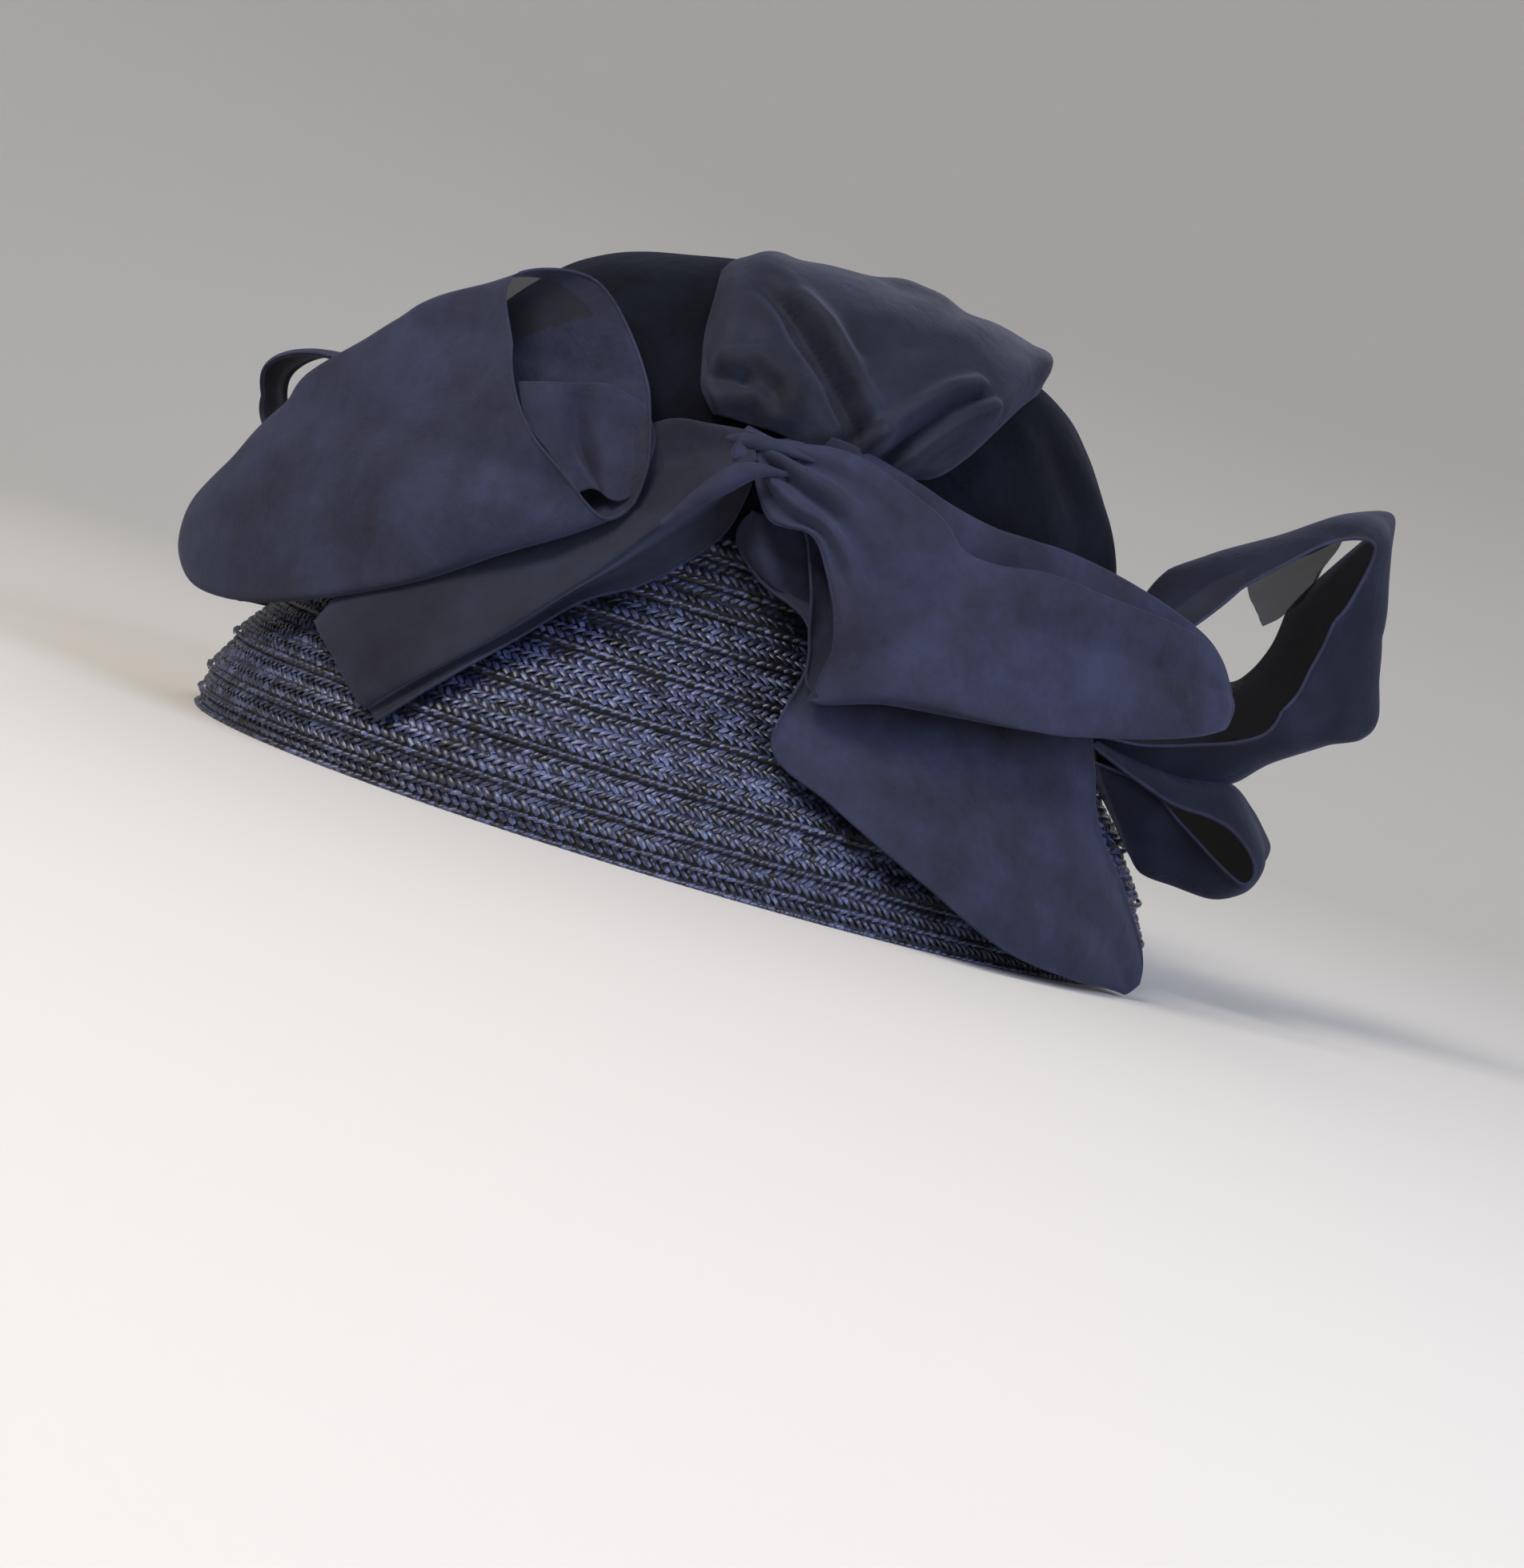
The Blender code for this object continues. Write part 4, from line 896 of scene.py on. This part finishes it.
# The far side, as turn, rise and stand
FAR_LOOP = (
    ((-92.0, 0.97, 0.00), (-95.0, 0.97, 0.00), (-98.0, 0.97, 0.00)),
    ((-88.0, 0.99, 0.20), (-95.5, 1.01, 0.22), (-103.0, 1.02, 0.22)),
    ((-89.5, 0.99, 0.38), (-96.5, 1.00, 0.42), (-103.5, 1.01, 0.43)),
    ((-91.0, 0.93, 0.50), (-97.0, 0.94, 0.54), (-103.5, 0.94, 0.54)),
    ((-92.0, 0.84, 0.53), (-97.5, 0.84, 0.57), (-103.5, 0.84, 0.57)),
    ((-91.0, 0.76, 0.47), (-96.5, 0.75, 0.50), (-102.5, 0.75, 0.51)),
    ((-89.0, 0.74, 0.31), (-94.5, 0.74, 0.33), (-100.5, 0.74, 0.34)),
    ((-92.0, 0.83, 0.00), (-95.0, 0.83, 0.00), (-98.0, 0.83, 0.00)),
)
FAR_TAIL = (
    ((-92.0, 0.70, -0.005), (-95.0, 0.70, -0.005), (-98.0, 0.70, -0.005)),
    ((-89.5, 0.64, 0.16), (-95.5, 0.65, 0.18), (-101.5, 0.64, 0.16)),
    ((-91.0, 0.52, 0.26), (-97.0, 0.53, 0.28), (-103.0, 0.52, 0.26)),
    ((-93.5, 0.39, 0.22), (-99.0, 0.39, 0.24), (-105.0, 0.39, 0.22)),
    ((-95.5, 0.27, 0.14), (-101.0, 0.27, 0.16), (-107.0, 0.27, 0.14)),
)
print("back and far sections:", len(BACK_LOOP_UPPER), len(BACK_LOOP_LOWER), len(FAR_LOOP))

# %% [markdown]
# The left loop is a sleeve with an open mouth. Its sections close round, and near the tip they draw
# together to one line, which is the fold at the end of the loop. At the back of the mouth the cloth is
# a single layer, so the light shows through it there. That place is a small window of the cut, and
# its faces take the single layer's finish.

# %% Left loop
SILK_THICK = 0.0004
LEFT_CUT = (0.15, 0.12)


def left_loop_place(across, along):
    """A closed sleeve of eight points to the section."""
    count = len(LEFT_LOOP[0])
    ring = [row[-1:] + row + row[:2] for row in LEFT_LOOP]
    spot = sample(ring, (1 + count * across) / (count + 2), along)
    centre = [sum(values) / count for values in zip(*LEFT_LOOP[-1])]
    pull = smooth(0.96, 1.0, along)
    return on_hat(*[a + (b - a) * pull for a, b in zip(spot, centre)])


def left_loop_crease(across, along):
    """Long soft creases that run from the mouth to the tip."""
    fade = smooth(0.02, 0.3, along) * smooth(0.0, 0.25, 1 - along)
    return 0.0008 * fade * math.sin(math.tau * (3 * across + 0.6 * along) + 4 * along)


WINDOW_ACROSS, WINDOW_ALONG = (0.825, 0.955), (0.09, 0.28)
left_cut = drape_cut(left_loop_place, LEFT_CUT, (96, 72), left_loop_crease, closed=True)
flat_map = left_cut.loops.layers.uv["cut"]
for face in left_cut.faces:
    middle = sum((corner[flat_map].uv for corner in face.loops), Vector((0, 0))) / len(face.loops)
    across, along = middle.x / LEFT_CUT[0], middle.y / LEFT_CUT[1]
    if WINDOW_ACROSS[0] < across < WINDOW_ACROSS[1] and WINDOW_ALONG[0] < along < WINDOW_ALONG[1]:
        face.material_index = 1
left_loop = finish_piece("left_loop_sleeve", left_cut, bow_silk, ["left_loop"],
                         thickness=SILK_THICK)
left_loop.data.materials.append(sheer_silk)

# %% [markdown]
# The other loops and tails are open sheets. One function makes them all, with its creases given by how
# many there are, how deep they are at the knot and how deep at the end. The raw edges of organza fray,
# so a maker rolls and whips them. Where such an edge shows, a thin round hem follows it, and it
# catches the light as the real one does. Two small layers lie inside the loops' mouths.


# %% Open sheets of the bow
def gathered(count, at_knot, at_end, drift=0.6):
    """Creases that start deep at the knot and run out along the cloth."""
    def crease(across, along):
        depth = at_knot + (at_end - at_knot) * smooth(0.0, 0.7, along)
        edge = smooth(0.0, 0.10, across) * smooth(0.0, 0.10, 1 - across) * smooth(0.0, 0.06, along)
        edge *= smooth(0.0, 0.12, 1 - along)
        return depth * edge * math.sin(
            math.tau * count * across + drift * math.sin(5 * along) + 3 * along)
    return crease


def rolled_hem(name, line, across_hem=0.0009, steps=120, taper=0.02):
    """A thin rolled edge along a line of places, which line gives at 0 to 1."""
    def place(across, along):
        share = min(0.998, max(0.002, along))
        here, ahead, behind = line(share), line(share + 0.002), line(share - 0.002)
        run = (ahead - behind).normalized()
        side = run.cross(Vector((0, 0, 1)) if abs(run.z) < 0.9 else Vector((1, 0, 0))).normalized()
        turn = math.tau * across
        end = (smooth(0.0, taper, along) * smooth(0.0, taper, 1 - along)) ** 0.7
        ring = (side * math.cos(turn) + run.cross(side) * math.sin(turn)) * across_hem / 2 * end
        return here + ring
    builder = drape_cut(place, (0.004, 0.1), (8, steps), closed=True)
    return finish_piece(name, builder, bow_silk, [])


def edge_of(table, across, low=0.0, high=1.0):
    """The line along one edge of a table."""
    return lambda share: on_hat(*sample(table, across, low + (high - low) * share))


def bow_sheet(name, table, size, steps, crease, nodes, hems=(),
              material=None):
    """One loop or tail from its table."""
    builder = drape_cut(lambda across, along: on_hat(*sample(table, across, along)), size, steps, crease)
    piece = finish_piece(name, builder, material or bow_silk, nodes,
                         thickness=SILK_THICK)
    edges = [rolled_hem(name + "_hem_" + str(n), edge_of(table, across, *span))
             for n, (across, span) in enumerate(hems, 1)]
    return piece


mouth_hem = rolled_hem("left_loop_hem", lambda share: left_loop_place(share, 0.0))
inner_fold = bow_sheet("left_loop_inner_fold", LOOP_INNER, (0.036, 0.026), (30, 30),
                       lambda across, along: 0.0, [],
                       hems=((0.0, (0.0, 1.0)),))
left_tail = bow_sheet("left_tail_fold", LEFT_TAIL, (0.070, 0.135), (84, 70),
                      gathered(2, 0.0006, 0.0003), ["left_tail"],
                      hems=((0.0, (0.05, 1.0)),), material=shaded_tail_silk)
right_tail = bow_sheet("right_tail_panel", RIGHT_TAIL, (0.045, 0.18), (50, 110),
                       gathered(2, 0.0010, 0.0005), ["right_tail"],
                       hems=((0.0, (0.02, 1.0)),))
back_upper = bow_sheet("back_loop_high", BACK_LOOP_UPPER, (0.060, 0.25), (48, 140),
                       gathered(2, 0.0008, 0.0006), ["back_loop_upper"],
                       hems=((0.0, (0.0, 1.0)),), material=shaded_back_silk)
back_lower = bow_sheet("back_loop_low", BACK_LOOP_LOWER, (0.040, 0.16), (44, 110),
                       gathered(2, 0.0008, 0.0006), ["back_loop_lower"],
                       hems=((0.0, (0.0, 1.0)),), material=shaded_back_silk)
back_inner = bow_sheet("back_loop_inner_layer", BACK_INNER, (0.018, 0.026), (24, 30),
                       gathered(2, 0.0008, 0.0005), [], material=backlit_inner_silk)
far_loop = bow_sheet("far_side_loop", FAR_LOOP, (0.025, 0.13), (30, 80),
                     gathered(2, 0.0010, 0.0006), ["far_loop"])
far_tail = bow_sheet("far_side_tail", FAR_TAIL, (0.030, 0.055), (30, 50),
                     gathered(2, 0.0010, 0.0006), ["far_tail"])

# %% [markdown]
# The right loop is a ribbon folded along its bottom. Near the knot the fold is open, which is the mouth
# that one looks into, and at the tip front and back draw together.

# %% Right loop
RIGHT_CUT = (0.09, 0.13)
RIGHT_MOUTH, MOUTH_BACK = 5 / 11, 0.667


def right_loop_place(across, along):
    """Front and back of the ribbon; they meet at the tip."""
    spot = sample(RIGHT_LOOP, across, along)
    other = sample(RIGHT_LOOP, 1 - across, along)
    pull = 0.5 * smooth(0.95, 1.0, along)
    return on_hat(*[a + (b - a) * pull for a, b in zip(spot, other)])


def right_loop_crease(across, along):
    """Deep pleats that leave the knot side by side and run out over the shoulder of the loop."""
    front = smooth(0.02, 0.10, across) * smooth(0.0, 0.12, 0.5 - across)
    deep = smooth(0.0, 0.05, along) * smooth(0.0, 0.34, 0.42 - along)
    soft = smooth(0.1, 0.5, along) * smooth(0.0, 0.2, 1 - along)
    pleats = math.sin(math.tau * 6.2 * across - 1.4 * along + 0.9)
    return front * (0.0024 * deep * pleats + 0.0004 * soft * math.sin(17 * across + 5 * along))


right_cut = drape_cut(right_loop_place, RIGHT_CUT, (112, 110), right_loop_crease)
flat_map = right_cut.loops.layers.uv["cut"]
open_fold = [f for f in right_cut.faces
             if all(0.5 < c[flat_map].uv[0] / RIGHT_CUT[0] < MOUTH_BACK for c in f.loops)
             and all(c[flat_map].uv[1] / RIGHT_CUT[1] < RIGHT_MOUTH for c in f.loops)]
bmesh.ops.delete(right_cut, geom=open_fold, context="FACES")
right_loop = finish_piece("right_loop_ribbon", right_cut, bow_silk, ["right_loop"],
                          thickness=SILK_THICK)
front_lip = rolled_hem("right_loop_hem_1", edge_of(RIGHT_LOOP, 0.5, 0.06, RIGHT_MOUTH))
back_lip = rolled_hem("right_loop_hem_2", edge_of(RIGHT_LOOP, MOUTH_BACK, 0.06, RIGHT_MOUTH))

# %% [markdown]
# There is no band round the bow: left tail and right loop are one cloth that is twisted tight in the
# middle. So the front knot is a narrow waist, wide at both ends, with its pleats turned like a rope's,
# and two soft rolls of cloth lie over it. One runs along its top and the other comes up out of the
# left tail. The back loops are caught together in a flat gathered patch.


# %% Knots
KNOT_PLEATS, KNOT_PLEAT_DEPTH = 6, 0.0004
# Turn of the middle, half turn, share of the bow's rise; height at the ends and at the waist, depth
# in metres; twist in degrees
FRONT_WAIST = (KNOT_TURN + 1.0, 5.6, 1.052, 0.0135, 0.011, 0.011, 34)
BACK_WAIST = (BACK_KNOT_TURN, 9.5, 0.78, 0.030, 0.026, 0.010, 12)


def twisted_waist(name, sizes, material, nodes):
    """Cloth drawn together in the middle."""
    turn, half_turn, up_at, ends, waist, depth, twist = sizes

    def place(across, along):
        end = 2 * along - 1
        angle = math.tau * across
        open_up = abs(end) ** 1.4
        close = 1 - smooth(0.70, 1.0, abs(end))
        pleat = math.cos(KNOT_PLEATS * angle + math.radians(twist) * end * KNOT_PLEATS) * close
        height = waist + (ends - waist) * open_up + KNOT_PLEAT_DEPTH * pleat
        out = depth * (0.75 + 0.25 * open_up) + KNOT_PLEAT_DEPTH * pleat
        rise = math.sin(angle) * height / 2 * close
        return on_hat(turn + end * half_turn, up_at + rise / BOW_RISE,
                      0.02 + (1 - math.cos(angle) * close) * out / 2 / BOW_STAND)
    builder = drape_cut(place, (0.05, 0.03), (96, 48), closed=True)
    piece = finish_piece(name, builder, material, nodes)
    return piece


bow_knot = twisted_waist("bow_knot_wrap", FRONT_WAIST, bow_silk, ["bow_knot"])


def rolled_fold(name, points, width, start, end):
    """A soft roll of cloth through a few places; start and end say how slowly it tapers."""
    last = len(points) - 1

    def line(share):
        i = min(int(share * last), last - 1)
        four = [points[min(max(i + k, 0), last)] for k in (-1, 0, 1, 2)]
        return on_hat(*[curve_value(*values, share * last - i) for values in zip(*four)])

    def place(across, along):
        share = min(0.995, max(0.005, along))
        run = (line(share + 0.005) - line(share - 0.005)).normalized()
        side = run.cross(bow_direction(0.0)).normalized()
        turn = math.tau * across
        size = width / 2 * smooth(0.0, start, along) * smooth(0.0, end, 1 - along)
        return line(share) + side * math.cos(turn) * size * 1.3 + run.cross(side) * math.sin(turn) * size
    piece = finish_piece(name, drape_cut(place, (0.01, 0.04), (24, 60), closed=True), bow_silk,
                         [])
    return piece


roll_over_top = rolled_fold("bow_knot_roll_top", TWIST_STRANDS[0], 0.0036, 0.6, 0.6)
roll_of_tail = rolled_fold("bow_knot_roll_of_tail", TWIST_STRANDS[1], 0.0056, 0.8, 0.45)
back_knot = twisted_waist("back_knot_wrap", BACK_WAIST, shaded_back_silk, ["back_knot"])

# %% [markdown]
# A plain pale floor runs up into a backdrop without an edge, so the rolled camera sees no tilted
# horizon. The light is soft and comes from large panels: one high in front to the left, a weaker one
# from the right, and one behind that edges the organza.

# %% Floor and lights
FLOOR_COLOUR = "#D8D6D1"
FLOOR_RADIUS, BEND_RADIUS, WALL_HEIGHT, BEND_STEPS = 1.2, 1.4, 2.0, 12
floor_paint = new_material("matt_floor_paint")
floor_shader = add_node(floor_paint, "ShaderNodeBsdfPrincipled",
                        {"Base Color": colour_of(FLOOR_COLOUR), "Roughness": 0.9,
                         "Specular IOR Level": 0.1})
add_node(floor_paint, "ShaderNodeOutputMaterial", None, {"Surface": (floor_shader, "BSDF")})
sweep = bmesh.new()
bmesh.ops.create_circle(sweep, cap_ends=True, segments=96, radius=FLOOR_RADIUS)
rim_edges = [e for e in sweep.edges if e.is_boundary]
for step in range(1, BEND_STEPS + 1):
    made = bmesh.ops.extrude_edge_only(sweep, edges=rim_edges)["geom"]
    rim_edges = [e for e in made if isinstance(e, bmesh.types.BMEdge) and e.is_boundary]
    bend = math.radians(90 * step / BEND_STEPS)
    for vertex in {v for e in rim_edges for v in e.verts}:
        outwards = Vector((vertex.co.x, vertex.co.y, 0)).normalized()
        vertex.co = outwards * (FLOOR_RADIUS + BEND_RADIUS * math.sin(bend))
        vertex.co.z = BEND_RADIUS * (1 - math.cos(bend))
made = bmesh.ops.extrude_edge_only(sweep, edges=rim_edges)["geom"]
top_edge = [v for v in made if isinstance(v, bmesh.types.BMVert)]
bmesh.ops.translate(sweep, vec=(0, 0, WALL_HEIGHT), verts=top_edge)
for face in sweep.faces:
    if face.normal.dot(Vector((0, 0, 1.0)) - face.calc_center_median()) < 0:
        face.normal_flip()
sweep_mesh = bpy.data.meshes.new("floor_sweep")
sweep.to_mesh(sweep_mesh)
sweep.free()
sweep_mesh.materials.append(floor_paint)
sweep_mesh.shade_smooth()
floor = bpy.data.objects.new("floor_sweep", sweep_mesh)
bpy.context.scene.collection.objects.link(floor)


def soft_panel(name, place, aim, size, power, tint):
    """A large soft light that faces a point."""
    data = bpy.data.lights.new(name, "AREA")
    data.shape, data.size, data.energy = "SQUARE", size, power
    data.color = colour_of(tint)[:3]
    lamp = bpy.data.objects.new(name, data)
    bpy.context.scene.collection.objects.link(lamp)
    lamp.location = place
    lamp.rotation_mode = "QUATERNION"
    lamp.rotation_quaternion = (Vector(aim) - Vector(place)).to_track_quat("-Z", "Y")


soft_panel("key_panel", (0.30, -1.3, 1.25), (0, 0, 0.08), 0.8, 25.0, "#FFF6EC")
soft_panel("fill_panel", (1.6, 0.1, 0.8), (0, 0, 0.08), 1.0, 21.0, "#D2DEFF")
soft_panel("edge_panel", (-0.9, 1.2, 1.2), (0, 0, 0.10), 0.8, 4.5, "#F4F7FF")

world = bpy.data.worlds.new("studio_air")
bpy.context.scene.world = world
world.use_nodes = True
air = world.node_tree.nodes["Background"]
air.inputs["Color"].default_value = colour_of("#E6E8EC")
air.inputs["Strength"].default_value = 0.32
bpy.context.scene.view_settings.view_transform = "Standard"
